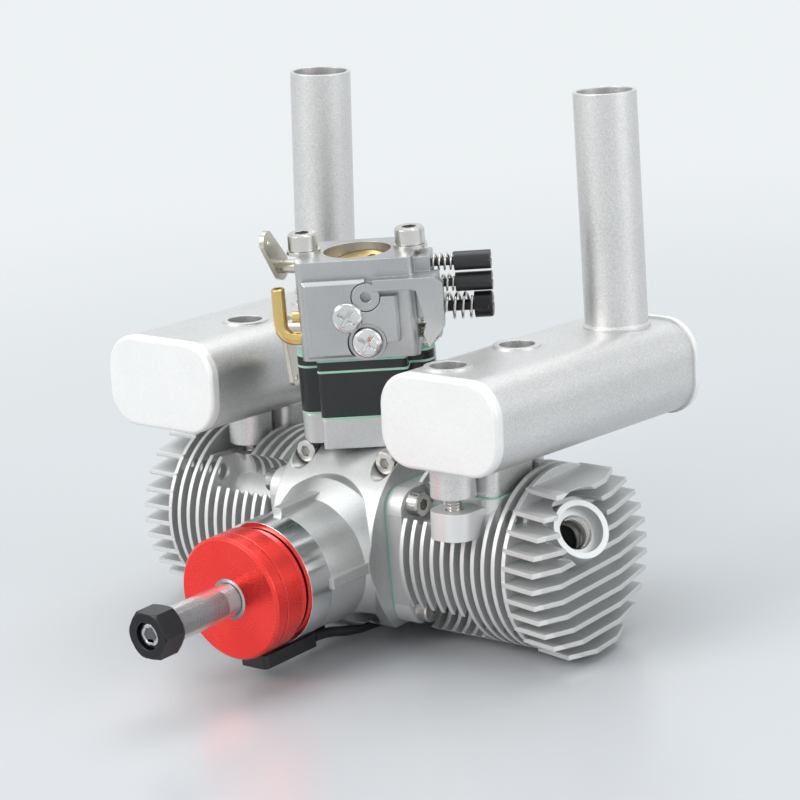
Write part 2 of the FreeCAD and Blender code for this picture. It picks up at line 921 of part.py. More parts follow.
def pipe_foot(side):
    """Where the pipe's axis crosses the middle height of the muffler."""
    axis = pipe_axis(side)
    top = V(side * pipe_top_x, pipe_y, pipe_top)
    return top - axis * ((pipe_top - muffler_rise) / axis.z)


def muffler_body(side):
    """The rolled shell with its access tubes, standoffs and openings."""
    y0 = muffler_front + front_cap_depth
    y1 = muffler_rear - rear_cap_depth
    shell = oval_bar(side, 0, y0, y1).cut(oval_bar(side, muffler_wall, y0, y1))
    low = muffler_rise - muffler_height / 2
    high = muffler_rise + muffler_height / 2
    seat = low + muffler_wall
    parts = []
    cuts = []
    for at, drop, depth in exhaust_screw_places(side):
        parts.append(cyl(access_outer, at + V(0, 0, low + 0.5), AXIS_Z, high + access_lip - low - 0.5))
        parts.append(cyl(standoff_radius, at + V(0, 0, standoff_end), AXIS_Z, low + 0.5 - standoff_end))
        cuts.append(cyl(access_inner, at + V(0, 0, seat), AXIS_Z, muffler_height + 2))
        cuts.append(cyl(m5_radius + slip_play, at, AXIS_Z, muffler_height))
    duct_y = -side * port_offset
    cuts.append(box(side * port_x - port_length / 2, side * port_x + port_length / 2,
                    duct_y - port_width / 2, duct_y + port_width / 2, low - 0.5, low + 3))
    foot = pipe_foot(side)
    cuts.append(cyl(pipe_radius - pipe_wall, foot, pipe_axis(side), 30))
    return pitched(join(shell, *parts).cut(cuts))


def muffler_caps(side):
    """The pressed front plate and the rear plate, whose lip stands a little proud."""
    front = oval_bar(side, 0, muffler_front, muffler_front + front_cap_depth)
    rim = [edge for edge in front.Edges if abs(edge.CenterOfMass.y - muffler_front) < 0.01]
    front = front.makeFillet(front_cap_edge, rim)
    rear = oval_bar(side, -rear_cap_lip, muffler_rear - rear_cap_depth, muffler_rear)
    rim = [edge for edge in rear.Edges if abs(edge.CenterOfMass.y - muffler_rear) < 0.01]
    rear = rear.makeFillet(0.8, rim)
    return group(pitched(front), pitched(rear))


def exhaust_pipe(side):
    foot = pipe_foot(side)
    axis = pipe_axis(side)
    length = (pipe_top - muffler_rise) / axis.z
    rise = muffler_height / 2 + weld_bead
    pipe = turned([
        (0, 0),
        (0, pipe_radius + weld_bead),
        (rise, pipe_radius + weld_bead),
        (rise + weld_bead / 2, pipe_radius),
        (length, pipe_radius),
        (length, 0),
    ], foot, axis)
    pipe = pipe.cut(cyl(pipe_radius - pipe_wall, foot, axis, length))
    return pitched(pipe.cut(muffler_outer(side)))


def header_outline(side, grow, z0, z1):
    half_x = port_length / 2 + grow
    half_y = port_width / 2 + grow
    duct_y = -side * port_offset
    block = box(side * port_x - half_x, side * port_x + half_x, duct_y - half_y, duct_y + half_y, z0, z1)
    return fillet_along(block, AXIS_Z, max(grow - 1, 0.8))


def exhaust_header(side):
    """The short duct between the exhaust port and the flat underside of the muffler."""
    block = header_outline(side, port_rim - 0.2, exhaust_gasket, muffler_rise)
    block = block.cut(header_outline(side, 0, 0, muffler_rise))
    keep = [cyl(standoff_radius + cover_play, place, AXIS_Z, 40)
            for place, drop, depth in exhaust_screw_places(side)]
    return pitched(block.cut([muffler_outer(side)] + keep))


def exhaust_gaskets():
    solids = []
    for side in (1, -1):
        ring = header_outline(side, port_rim, 0, exhaust_gasket)
        ring = ring.cut(header_outline(side, 0, 0, exhaust_gasket))
        solids.append(pitched(ring))
    return group(*solids)


def muffler_screws():
    seat = muffler_rise - muffler_height / 2 + muffler_wall
    screws = []
    for side in (1, -1):
        for place, drop, depth in exhaust_screw_places(side):
            length = seat + drop + depth - pocket_room
            screw = socket_screw(m5_radius, m5_head_radius, m5_head_height, m5_key, length,
                                 place + AXIS_Z * seat, AXIS_Z * -1)
            screws.append(pitched(screw))
    return group(*screws)


# Intake stack

def stack_slice(z, height, bore):
    piece = stack_outline(z, height).cut(cyl(bore, V(0, 0, z), AXIS_Z, height))
    return stack_frame(piece.cut(bolt_holes(z, height, slip_play)))


def insulator_block():
    return stack_slice(neck_top + intake_gasket, insulator_height, stack_bore)


def carb_spacer():
    z = neck_top + 2 * intake_gasket + insulator_height
    return stack_slice(z, spacer_height, stack_bore)


def intake_gaskets():
    levels = (
        neck_top,
        neck_top + intake_gasket + insulator_height,
        carb_base - intake_gasket,
    )
    return group(*[stack_slice(z, intake_gasket, stack_bore) for z in levels])


def reed_valve():
    """A small reed cage hanging in the neck, with one steel petal on each sloping face."""
    top = neck_top - 0.4
    flange = cyl(neck_bore - slip_play, V(0, 0, top - 2), AXIS_Z, 2)
    half = 5.6
    wedge = prism([
        V(-5.5, -half, top - 2),
        V(-5.5, half, top - 2),
        V(-5.5, 0.9, top - 15),
        V(-5.5, -0.9, top - 15),
    ], V(11, 0, 0))
    hollow = prism([
        V(-4.2, -half + 1.4, top + 1),
        V(-4.2, half - 1.4, top + 1),
        V(-4.2, 0.2, top - 12.6),
        V(-4.2, -0.2, top - 12.6),
    ], V(8.4, 0, 0))
    window = box(-4.2, 4.2, -6, 6, top - 11.5, top - 3.6)
    cage = join(flange, wedge).cut([hollow, window])
    petals = []
    for side in (-1, 1):
        petals.append(prism([
            V(-5, side * (half + 0.02), top - 2.2),
            V(-5, side * (half + 0.27), top - 2.2),
            V(-5, side * 1.27, top - 14.8),
            V(-5, side * 1.02, top - 14.8),
        ], V(10, 0, 0)))
    return group(*[stack_frame(piece) for piece in [cage] + petals])


# Carburettor

def front_face(w):
    """Forward distance w as a Y value in the carburettor's own frame."""
    return -w


def across_shaft(radius, z, start, end):
    """A bar along the skewed shaft line that passes beside the two bolts."""
    bar = cyl(radius, V(start, 0, z), AXIS_X, end - start)
    return stack_frame(bar, shaft_turn)


def carb_body():
    body = box(-body_half_long, body_half_long, -body_half_deep, body_half_deep, carb_base, carb_deck)
    body = fillet_along(body, AXIS_Z, body_bevel)
    block = box(body_half_long - 1, side_block_end, front_face(side_block_front), front_face(side_block_back),
                carb_base + side_block_low, carb_base + side_block_high)
    ear = box(body_half_long - 1, idle_ear_end, front_face(side_block_front), front_face(side_block_back),
              carb_base + idle_ear_low, carb_base + side_block_low)
    y0 = front_face(body_half_deep + arm_thickness)
    y1 = front_face(body_half_deep)
    top = carb_base + arm_top
    arm = prism([
        V(arm_left, y1, top),
        V(arm_right - 2.5, y1, top),
        V(arm_right, y1, top - 2.0),
        V(arm_right - 0.4, y1, carb_base + arm_knee),
        V(arm_right - 5.2, y1, carb_base + arm_foot),
        V(arm_right - 6.6, y1, carb_base + arm_foot + 4),
        V(arm_right - arm_width, y1, carb_base + arm_knee + 1),
        V(arm_right - arm_width - 2.2, y1, top - arm_drop - 0.6),
        V(arm_right - arm_width - 4, y1, top - arm_drop),
        V(arm_left, y1, top - arm_drop),
    ], V(0, y0 - y1, 0))
    brace = box(body_half_long - 1, arm_right - 1.5, front_face(body_half_deep),
                front_face(side_block_front - 1), top - arm_drop, top)
    boss = cyl(boss_radius, V(boss_s, y1, carb_base + boss_up), AXIS_Y * -1, boss_length)
    low_boss = cyl(low_boss_radius, V(low_boss_s, y1, carb_base + low_boss_up), AXIS_Y * -1, low_boss_length)
    low_boss = low_boss.common(box(-60, 60, -60, 60, carb_base, carb_deck))
    body = join(body, block, ear, arm, brace, boss, low_boss)
    cuts = bolt_holes(carb_base, carb_height, slip_play)
    cuts.append(cyl(throat_bore, V(0, 0, carb_base), AXIS_Z, carb_height))
    cuts.append(cyl(air_bore, V(0, 0, carb_deck - air_bore_depth), AXIS_Z, air_bore_depth))
    cuts.append(cyl(boss_hole, V(boss_s, y1 - boss_length, carb_base + boss_up), AXIS_Y, 3))
    screw_hole = cover_screw_radius + thread_play
    cuts.append(cyl(screw_hole, V(centre_screw_s, y1, carb_base + centre_screw_up), AXIS_Y,
                    cover_screw_depth))
    cuts.append(cyl(screw_hole, V(low_boss_s, y1 - low_boss_length, carb_base + low_boss_up), AXIS_Y,
                    cover_screw_depth))
    for up, radius, start in (
        (high_needle_up, needle_radius, needle_start),
        (low_needle_up, needle_radius, needle_start),
        (idle_up, idle_shank_radius, idle_start - pocket_room),
    ):
        at = V(start - 0.5, front_face(needle_w), carb_base + up)
        cuts.append(cyl(radius + running_play, at, AXIS_X, needle_cap_end))
    for s, z in metering_screw_places():
        hole_depth = metering_screw_length - metering_thickness + thread_play
        cuts.append(cyl(metering_screw_radius + thread_play, V(s, body_half_deep, z), AXIS_Y * -1,
                        hole_depth))
    body = stack_frame(body.cut(cuts))
    hole = carb_shaft_radius + running_play
    return body.cut([
        across_shaft(hole, throttle_z, -30, 30),
        across_shaft(hole, choke_z, -30, choke_right_end + 0.2),
    ])


def metering_screw_places():
    places = []
    reach = metering_half - metering_screw_inset
    for s in (-reach, reach):
        for up in (metering_low + metering_screw_inset, metering_high - metering_screw_inset):
            places.append((s, carb_base + up))
    return places


def pump_cover():
    y1 = front_face(body_half_deep)
    y0 = y1 - pump_cover_thickness
    cover = box(pump_cover_left, pump_cover_right, y0, y1, carb_base + pump_cover_low,
                carb_base + pump_cover_high)
    edges = [edge for edge in cover.Edges if abs(edge.CenterOfMass.y - y0) < 0.01]
    cover = cover.makeChamfer(cover_bevel, edges)
    cuts = [
        cyl(boss_radius + cover_play, V(boss_s, y0, carb_base + boss_up), AXIS_Y, pump_cover_thickness),
        cyl(low_boss_radius + cover_play, V(low_boss_s, y0, carb_base + low_boss_up), AXIS_Y,
            pump_cover_thickness),
        cyl(cover_screw_radius + slip_play, V(centre_screw_s, y0, carb_base + centre_screw_up), AXIS_Y,
            pump_cover_thickness),
        box(arm_left - cover_play, 30, y0, y1, carb_base + arm_top - arm_drop - cover_play, carb_deck),
        box(boss_s, 30, y0, y1, carb_base + boss_up, carb_deck),
        box(low_boss_s, 30, y0, y1, carb_base, carb_base + low_boss_up),
    ]
    return stack_frame(cover.cut(cuts))


def metering_cover():
    y0 = body_half_deep
    cover = box(-metering_half, metering_half, y0, y0 + metering_thickness, carb_base + metering_low,
                carb_base + metering_high)
    cover = fillet_along(cover, AXIS_Y, metering_corner)
    middle = V(0, y0, carb_base + (metering_low + metering_high) / 2)
    crown_top = metering_thickness + metering_crown_height
    cover = join(cover, cyl(metering_crown_radius, middle, AXIS_Y, crown_top))
    cuts = [cyl(metering_vent, middle, AXIS_Y, crown_top)]
    for s, z in metering_screw_places():
        cuts.append(cyl(metering_screw_radius + slip_play, V(s, y0, z), AXIS_Y, metering_thickness))
    return stack_frame(cover.cut(cuts))


def slotted_head(head_radius, head_height, shank_radius, shank, at, outward):
    """A small cover screw with a cross slot, its head standing on the point at."""
    along = V(outward).normalize()
    head = cyl(head_radius, at, along, head_height)
    rim = [edge for edge in head.Edges if (edge.CenterOfMass - at).dot(along) > head_height - 0.01]
    head = head.makeFillet(head_height * 0.5, rim[:1])
    screw = join(head, cyl(shank_radius, at - along * shank, along, shank))
    side = along.cross(AXIS_Z).normalize()
    for direction in (side, AXIS_Z):
        other = along.cross(direction)
        corner = at + along * (head_height - 0.8) - direction * 2.0 - other * 0.45
        slot = prism([corner, corner + direction * 4.0, corner + direction * 4.0 + other * 0.9,
                      corner + other * 0.9], along * 2)
        screw = screw.cut(slot)
    return screw


def carb_cover_screws():
    y1 = front_face(body_half_deep)
    outward = AXIS_Y * -1
    screws = [
        slotted_head(centre_screw_head, centre_head_height, cover_screw_radius, pump_cover_thickness + 5,
                     V(centre_screw_s, y1 - pump_cover_thickness, carb_base + centre_screw_up), outward),
        slotted_head(pan_head_radius, pan_head_height, cover_screw_radius, low_boss_length + 3,
                     V(low_boss_s, y1 - low_boss_length, carb_base + low_boss_up), outward),
    ]
    for s, z in metering_screw_places():
        screws.append(slotted_head(metering_head_radius, metering_head_height, metering_screw_radius,
                                   metering_screw_length,
                                   V(s, body_half_deep + metering_thickness, z), AXIS_Y))
    return group(*[stack_frame(screw) for screw in screws])


def carb_bolts():
    bolts = []
    for side in (-1, 1):
        seat = V(side * carb_bolt_spacing / 2, 0, carb_deck + washer_thickness)
        bolt = socket_screw(m5_radius, m5_head_radius, m5_head_height, m5_key, carb_bolt_length,
                            seat, AXIS_Z * -1)
        bolts.append(stack_frame(bolt))
    return group(*bolts)


def carb_washers():
    washers = []
    for side in (-1, 1):
        at = V(side * carb_bolt_spacing / 2, 0, carb_deck)
        washers.append(stack_frame(tube(washer_radius, m5_radius + slip_play, at, AXIS_Z, washer_thickness)))
    return group(*washers)


def brass_fittings():
    """The fuel elbow, bent upward, and the small plug above it."""
    start = V(-body_half_long, front_face(elbow_w), carb_base + elbow_up)
    corner = start - AXIS_X * (elbow_reach - elbow_bend)
    mid = corner + V(-elbow_bend * math.sin(math.radians(45)), 0,
                     elbow_bend * (1 - math.cos(math.radians(45))))
    end = corner + V(-elbow_bend, 0, elbow_bend)
    path = Part.Wire([
        Part.LineSegment(start, corner).toShape(),
        Part.Arc(corner, mid, end).toShape(),
        Part.LineSegment(end, end + AXIS_Z * elbow_rise).toShape(),
    ])
    outer = Part.Wire([Part.Circle(start, AXIS_X, elbow_radius).toShape()])
    inner = Part.Wire([Part.Circle(start, AXIS_X, elbow_bore).toShape()])
    pipe = path.makePipeShell([outer], True, True)
    rim = [edge for edge in pipe.Edges if edge.CenterOfMass.z > end.z + elbow_rise - thread_play]
    pipe = pipe.makeChamfer(elbow_tip_chamfer, rim).cut(path.makePipeShell([inner], True, True))
    plug_at = V(-body_half_long, front_face(brass_plug_w), carb_base + brass_plug_up)
    plug = cyl(brass_plug_radius, plug_at, AXIS_X * -1, brass_plug_length)
    return group(stack_frame(pipe), stack_frame(plug))


def lever(z, arm, width, angle, hole_radius):
    """A flat lever on the left end of a carburettor shaft, hung at an angle from below."""
    start = -lever_reach - lever_thickness / 2
    run = V(0, math.sin(math.radians(angle)), -math.cos(math.radians(angle)))
    side = V(0, run.z, -run.y)
    root = V(start, 0, z)
    corners = [
        root + side * (width / 2),
        root + side * (width / 2 * 0.8) + run * arm,
        root - side * (width / 2 * 0.8) + run * arm,
        root - side * (width / 2),
    ]
    plate = prism(corners, AXIS_X * lever_thickness)
    plate = plate.fuse([
        cyl(width / 2, root, AXIS_X, lever_thickness),
        cyl(width / 2 * 0.8, root + run * arm, AXIS_X, lever_thickness),
    ]).removeSplitter()
    return plate.cut(cyl(hole_radius, root + run * arm, AXIS_X, lever_thickness))


def shaft_with_slot(z, right_end, tilt_angle):
    bar = cyl(carb_shaft_radius, V(-lever_reach - lever_thickness / 2, 0, z), AXIS_X,
              lever_reach + lever_thickness / 2 + right_end)
    return bar.cut(plate_disc(air_bore + 2, z, plate_thickness + 0.04, tilt_angle))


def plate_disc(radius, z, thickness, tilt_angle):
    disc = cyl(radius, V(0, 0, z - thickness / 2), AXIS_Z, thickness)
    disc.rotate(V(0, 0, z), AXIS_X, tilt_angle)
    return disc


def throttle_shaft():
    shaft = shaft_with_slot(throttle_z, throttle_right_end, 0)
    return stack_frame(join(shaft, lever(throttle_z, throttle_arm, throttle_arm_width, 8, lever_hole)),
                       shaft_turn)


def throttle_plate():
    return stack_frame(plate_disc(throat_bore - plate_play, throttle_z, plate_thickness, 0), shaft_turn)


def throttle_spring():
    ring = tube(spring_outer, spring_outer - spring_wire, V(throttle_spring_start, 0, throttle_z), AXIS_X,
                throttle_spring_length)
    return stack_frame(ring, shaft_turn)


def choke_shaft():
    shaft = shaft_with_slot(choke_z, choke_right_end, choke_rest_tilt)
    return stack_frame(join(shaft, lever(choke_z, choke_arm, choke_arm_width, 220, lever_hole)), shaft_turn)


def choke_plate():
    plate = plate_disc(air_bore - plate_play, choke_z, plate_thickness, choke_rest_tilt)
    hole = cyl(1.1, V(1.5, 6.2, choke_z - 6), AXIS_Z, 12)
    return stack_frame(plate.cut(hole), shaft_turn)


def needle(up):
    """A brass mixture needle with its black ribbed cap, along the side of the body."""
    y = front_face(needle_w)
    z = carb_base + up
    stem = cyl(needle_radius, V(needle_start, y, z), AXIS_X, needle_cap_start - needle_start)
    cap = cyl(needle_cap_radius, V(needle_cap_start, y, z), AXIS_X, needle_cap_end - needle_cap_start)
    half = driver_slot_width / 2
    slot = box(needle_cap_end - driver_slot, needle_cap_end, y - needle_cap_radius, y + needle_cap_radius,
               z - half, z + half)
    return stack_frame(join(stem, cap).cut(slot))


def idle_screw():
    y = front_face(needle_w)
    z = carb_base + idle_up
    stem = cyl(idle_shank_radius, V(idle_start, y, z), AXIS_X, idle_head_start - idle_start)
    head = cyl(idle_head_radius, V(idle_head_start, y, z), AXIS_X, idle_head_end - idle_head_start)
    rim = [edge for edge in head.Edges if edge.CenterOfMass.x > idle_head_end - 0.01]
    head = head.makeFillet(0.8, rim[:1])
    half = driver_slot_width / 2
    slot = box(idle_head_end - driver_slot, idle_head_end, y - idle_head_radius, y + idle_head_radius,
               z - half, z + half)
    return stack_frame(join(stem, head).cut(slot))


def adjuster_springs():
    springs = []
    for up, outer, start, end in (
        (high_needle_up, needle_spring_outer, side_block_end, needle_cap_start),
        (low_needle_up, needle_spring_outer, side_block_end, needle_cap_start),
        (idle_up, idle_spring_outer, idle_ear_end, idle_head_start),
    ):
        at = V(start, front_face(needle_w), carb_base + up)
        springs.append(stack_frame(tube(outer, outer - spring_wire, at, AXIS_X, end - start)))
    return group(*springs)


# Crank train

def crankshaft():
    half = centre_web / 2
    parts = [
        cyl(web_radius, V(0, -half, 0), AXIS_Y, centre_web),
        cyl(web_radius, V(0, half + rod_width, 0), AXIS_Y, outer_web),
        cyl(web_radius, V(0, -crank_half_length, 0), AXIS_Y, outer_web),
        cyl(crankpin_radius, V(throw, -half - rod_width, 0), AXIS_Y, rod_width),
        cyl(crankpin_radius, V(-throw, half, 0), AXIS_Y, rod_width),
        cyl(main_shaft_radius, V(0, crank_half_length, 0), AXIS_Y, rear_journal),
        cyl(main_shaft_radius, V(0, hub_front, 0), AXIS_Y, -crank_half_length - hub_front),
        cyl(stud_radius, V(0, stud_end, 0), AXIS_Y, hub_front - stud_end),
    ]
    shaft = join(*parts)
    return shaft.cut(hexagon(stud_socket, V(0, stud_end, 0), AXIS_Y, 3))


def prop_hub():
    """The anodised drive hub: a wide front flange on a smaller rear drum with grooves."""
    groove = hub_radius - hub_groove
    hub = turned([
        (hub_front, 0),
        (hub_front, hub_radius - hub_chamfer),
        (hub_front + hub_chamfer, hub_radius),
        (hub_front + 4.0, hub_radius),
        (hub_front + 4.0, groove),
        (hub_front + 4.6, groove),
        (hub_front + 4.6, hub_radius),
        (hub_step, hub_radius),
        (hub_step, hub_rear_radius),
        (hub_rear, hub_rear_radius),
        (hub_rear, 0),
    ], CENTRE, AXIS_Y)
    bore = cyl(main_shaft_radius, V(0, hub_front, 0), AXIS_Y, hub_rear - hub_front)
    pocket = cyl(magnet_radius, V(0, magnet_y, -hub_radius - 1), AXIS_Z, 1 + magnet_inset + magnet_height)
    return hub.cut([bore, pocket])


def hub_magnet():
    return cyl(magnet_radius, V(0, magnet_y, magnet_inset - hub_radius), AXIS_Z, magnet_height)


def shaft_sleeve():
    return tube(sleeve_outer, sleeve_outer - sleeve_wall, V(0, nut_rear, 0), AXIS_Y, hub_front - nut_rear)


def prop_nut():
    nut = hexagon(nut_flats, V(0, nut_front, 0), AXIS_Y, nut_height)
    corner = nut_flats / math.sqrt(3)
    round_off = turned([
        (nut_front, 0),
        (nut_front, corner - 0.9),
        (nut_front + 0.7, corner),
        (nut_rear - 0.7, corner),
        (nut_rear, corner - 0.9),
        (nut_rear, 0),
    ], CENTRE, AXIS_Y)
    nut = nut.common(round_off)
    return nut.cut(cyl(stud_radius + thread_play, V(0, nut_front, 0), AXIS_Y, nut_height))


def piston():
    """The right piston at its outer dead centre, with ring grooves and pin bosses."""
    radius = bore_radius - running_play
    skirt_end = crown_tdc - piston_length
    body = cyl(radius, V(skirt_end, 0, 0), AXIS_X, piston_length)
    hollow = cyl(radius - piston_wall, V(skirt_end, 0, 0), AXIS_X, piston_length - crown_thickness)
    body = body.cut(hollow)
    pin_x = crown_tdc - pin_to_crown
    boss = cyl(wrist_pin_radius + 2, V(pin_x, -radius + 1, 0), AXIS_Y, 2 * radius - 2)
    boss = boss.common(cyl(radius, V(skirt_end, 0, 0), AXIS_X, piston_length))
    body = body.fuse(boss).removeSplitter()
    body = body.cut(box(skirt_end - 1, crown_tdc - crown_thickness, -rod_width - 3, rod_width + 3, -7.4, 7.4))
    cuts = [cyl(wrist_pin_radius + 0.02, V(pin_x, -radius, 0), AXIS_Y, 2 * radius)]
    for i in range(2):
        x = crown_tdc - 2.0 - i * ring_pitch - ring_height
        cuts.append(tube(radius + 1, radius - ring_depth, V(x, 0, 0), AXIS_X, ring_height))
    return body.cut(cuts)


def piston_rings():
    rings = []
    for i in range(2):
        x = crown_tdc - 2.0 - i * ring_pitch - ring_height
        ring = tube(bore_radius - 0.02, bore_radius - running_play - ring_depth + 0.3, V(x + 0.03, 0, 0),
                    AXIS_X, ring_height - 0.06)
        ring = ring.cut(box(x - 1, x + 3, -0.3, 0.3, 0, bore_radius + 1))
        rings.append(ring)
    return group(*rings)


def wrist_pin():
    half = bore_radius - wrist_pin_end_gap
    pin_x = crown_tdc - pin_to_crown
    return tube(wrist_pin_radius, wrist_pin_bore, V(pin_x, -half, 0), AXIS_Y, 2 * half)


def connecting_rod():
    """The right rod, in line with its cylinder at outer dead centre."""
    y = -centre_web / 2 - rod_width + 0.2
    width = rod_width - 0.4
    big = cyl(big_end_radius, V(throw, y, 0), AXIS_Y, width)
    small = cyl(small_end_radius, V(throw + rod_length, y, 0), AXIS_Y, width)
    shank = box(throw, throw + rod_length, y, y + width, -rod_shank / 2, rod_shank / 2)
    rod = join(big, small, shank)
    panel_start = throw + big_end_radius + 2
    panel_end = throw + rod_length - small_end_radius - 2
    panel = box(panel_start, panel_end, y - 1, y + 1.6, -rod_shank / 2 + 1.6, rod_shank / 2 - 1.6)
    other = box(panel_start, panel_end, y + width - 1.6, y + width + 1,
                -rod_shank / 2 + 1.6, rod_shank / 2 - 1.6)
    return rod.cut([
        cyl(crankpin_radius + running_play, V(throw, y, 0), AXIS_Y, width),
        cyl(wrist_pin_radius + running_play, V(throw + rod_length, y, 0), AXIS_Y, width),
        panel,
        other,
    ])


# Ignition sensor

def sensor_body():
    """A potted sensor under the hub, with a foot that is screwed to the housing lug."""
    z0 = sensor_top - sensor_thickness
    body = box(-sensor_half_width, sensor_half_width, sensor_front, sensor_rear, z0, sensor_top)
    body = fillet_along(body, AXIS_Z, 1.5)
    foot_low = sensor_top - sensor_foot_thickness
    foot = box(-sensor_half_width, sensor_foot_right, sensor_rear - 2, sensor_foot_rear, foot_low, sensor_top)
    body = join(body, foot)
    at = V(sensor_screw_x, sensor_screw_y, z0)
    hole = cyl(small_screw_radius + slip_play, at, AXIS_Z, sensor_thickness)
    return body.cut(hole)


def clip_screw_places():
    return [V(clip_screw_x, lead_clip_y, case_floor),
            V(clip_screw_x + clip_screw_step, plug_clip_y, case_floor)]


def small_screws():
    """The sensor's screw and the two that hold the lead's clips."""
    seat = V(sensor_screw_x, sensor_screw_y, sensor_top - sensor_foot_thickness)
    screws = [socket_screw(small_screw_radius, small_screw_head, small_screw_height, small_screw_key,
                           sensor_screw_length, seat, AXIS_Z)]
    for place in clip_screw_places():
        screws.append(socket_screw(small_screw_radius, small_screw_head, small_screw_height, small_screw_key,
                                   clip_screw_length, place - AXIS_Z * clip_wall, AXIS_Z))
    return group(*screws)


def rounded_path(points):
    """Straight runs between the points, joined by arcs as large as the runs leave room for."""
    edges = []
    start = points[0]
    for i in range(1, len(points) - 1):
        corner = points[i]
        run_back = points[i - 1] - corner
        run_ahead = points[i + 1] - corner
        reach = 0.45 * min(run_back.Length, run_ahead.Length)
        back = run_back.normalize()
        ahead = run_ahead.normalize()
        half = math.acos(max(-1.0, min(1.0, back.dot(ahead)))) / 2
        radius = reach * math.tan(half)
        print("lead bend radius %.1f" % radius)
        first = corner + back * reach
        last = corner + ahead * reach
        inward = (back + ahead).normalize()
        middle = corner + inward * (radius / math.sin(half) - radius)
        edges.append(Part.LineSegment(start, first).toShape())
        edges.append(Part.Arc(first, middle, last).toShape())
        start = last
    edges.append(Part.LineSegment(start, points[-1]).toShape())
    return Part.Wire(edges)


def sensor_lead():
    """The lead: out beside the foot, down under the case floor and back to its plug."""
    z0 = sensor_top - lead_exit_drop
    z1 = case_floor - lead_to_floor - lead_radius
    out_x = sensor_foot_right + lead_radius + lead_side_gap
    side_run = lead_x - out_x
    points = [
        V(out_x, sensor_rear, z0),
        V(out_x, sensor_rear + lead_straight, z0),
        V(out_x + side_run * 0.46, lead_drop_y, z1),
        V(out_x + side_run * 0.85, lead_bend_y, z1),
        V(lead_x, lead_settle_y, z1),
        V(lead_x, plug_y, z1),
    ]
    path = rounded_path(points)
    section = Part.Wire([Part.Circle(points[0], points[1] - points[0], lead_radius).toShape()])
    lead = path.makePipeShell([section], True, True)
    expected = math.pi * lead_radius ** 2 * path.Length
    print("lead volume %.1f, section times length %.1f" % (lead.Volume, expected))
    return lead


def sensor_plug():
    """The three-pin plug, held flat against the floor of the crankcase."""
    top = case_floor - clip_play
    shell = box(lead_x - plug_half_width, lead_x + plug_half_width, plug_y, plug_y + plug_length,
                top - plug_height, top)
    shell = fillet_along(shell, AXIS_Y, 0.6)
    pins = []
    for i in (-1, 0, 1):
        x = lead_x + i * plug_pin_pitch
        z = top - plug_height / 2
        half = plug_pin_size / 2
        pins.append(box(x - half, x + half, plug_y + plug_length - plug_pin_depth, plug_y + plug_length,
                        z - half, z + half))
    return shell.cut(pins)


def sensor_clips():
    """Two sheet clips on the crankcase floor, one round the lead and one round the plug."""
    half = clip_width / 2
    z1 = case_floor - lead_to_floor - lead_radius
    round_start = V(lead_x, lead_clip_y - half, z1)
    inner = lead_radius + clip_play
    loop = tube(inner + clip_wall, inner, round_start, AXIS_Y, clip_width)
    foot = box(lead_x + lead_radius / 2, clip_screw_x + clip_end, lead_clip_y - half, lead_clip_y + half,
               case_floor - clip_wall, case_floor)
    clear = cyl(inner, round_start, AXIS_Y, clip_width)
    above = box(-30, 30, -30, 30, case_floor, 0)
    first = join(loop, foot).cut([clear, above])
    low = case_floor - 2 * clip_play - plug_height
    wide = plug_half_width + clip_play
    second = box(lead_x - wide - clip_wall, lead_x + wide + clip_wall, plug_clip_y - half, plug_clip_y + half,
                 low - clip_wall, case_floor)
    second_foot = box(lead_x, case_half_width, plug_clip_y - half, plug_clip_y + half,
                      case_floor - clip_wall, case_floor)
    room = box(lead_x - wide, lead_x + wide, plug_clip_y - half, plug_clip_y + half, low, case_floor)
    second = join(second, second_foot).cut(room)
    clips = []
    for clip, place in zip((first, second), clip_screw_places()):
        clips.append(clip.cut(cyl(small_screw_radius + slip_play, place - AXIS_Z * 2, AXIS_Z, 4)))
    return group(*clips)


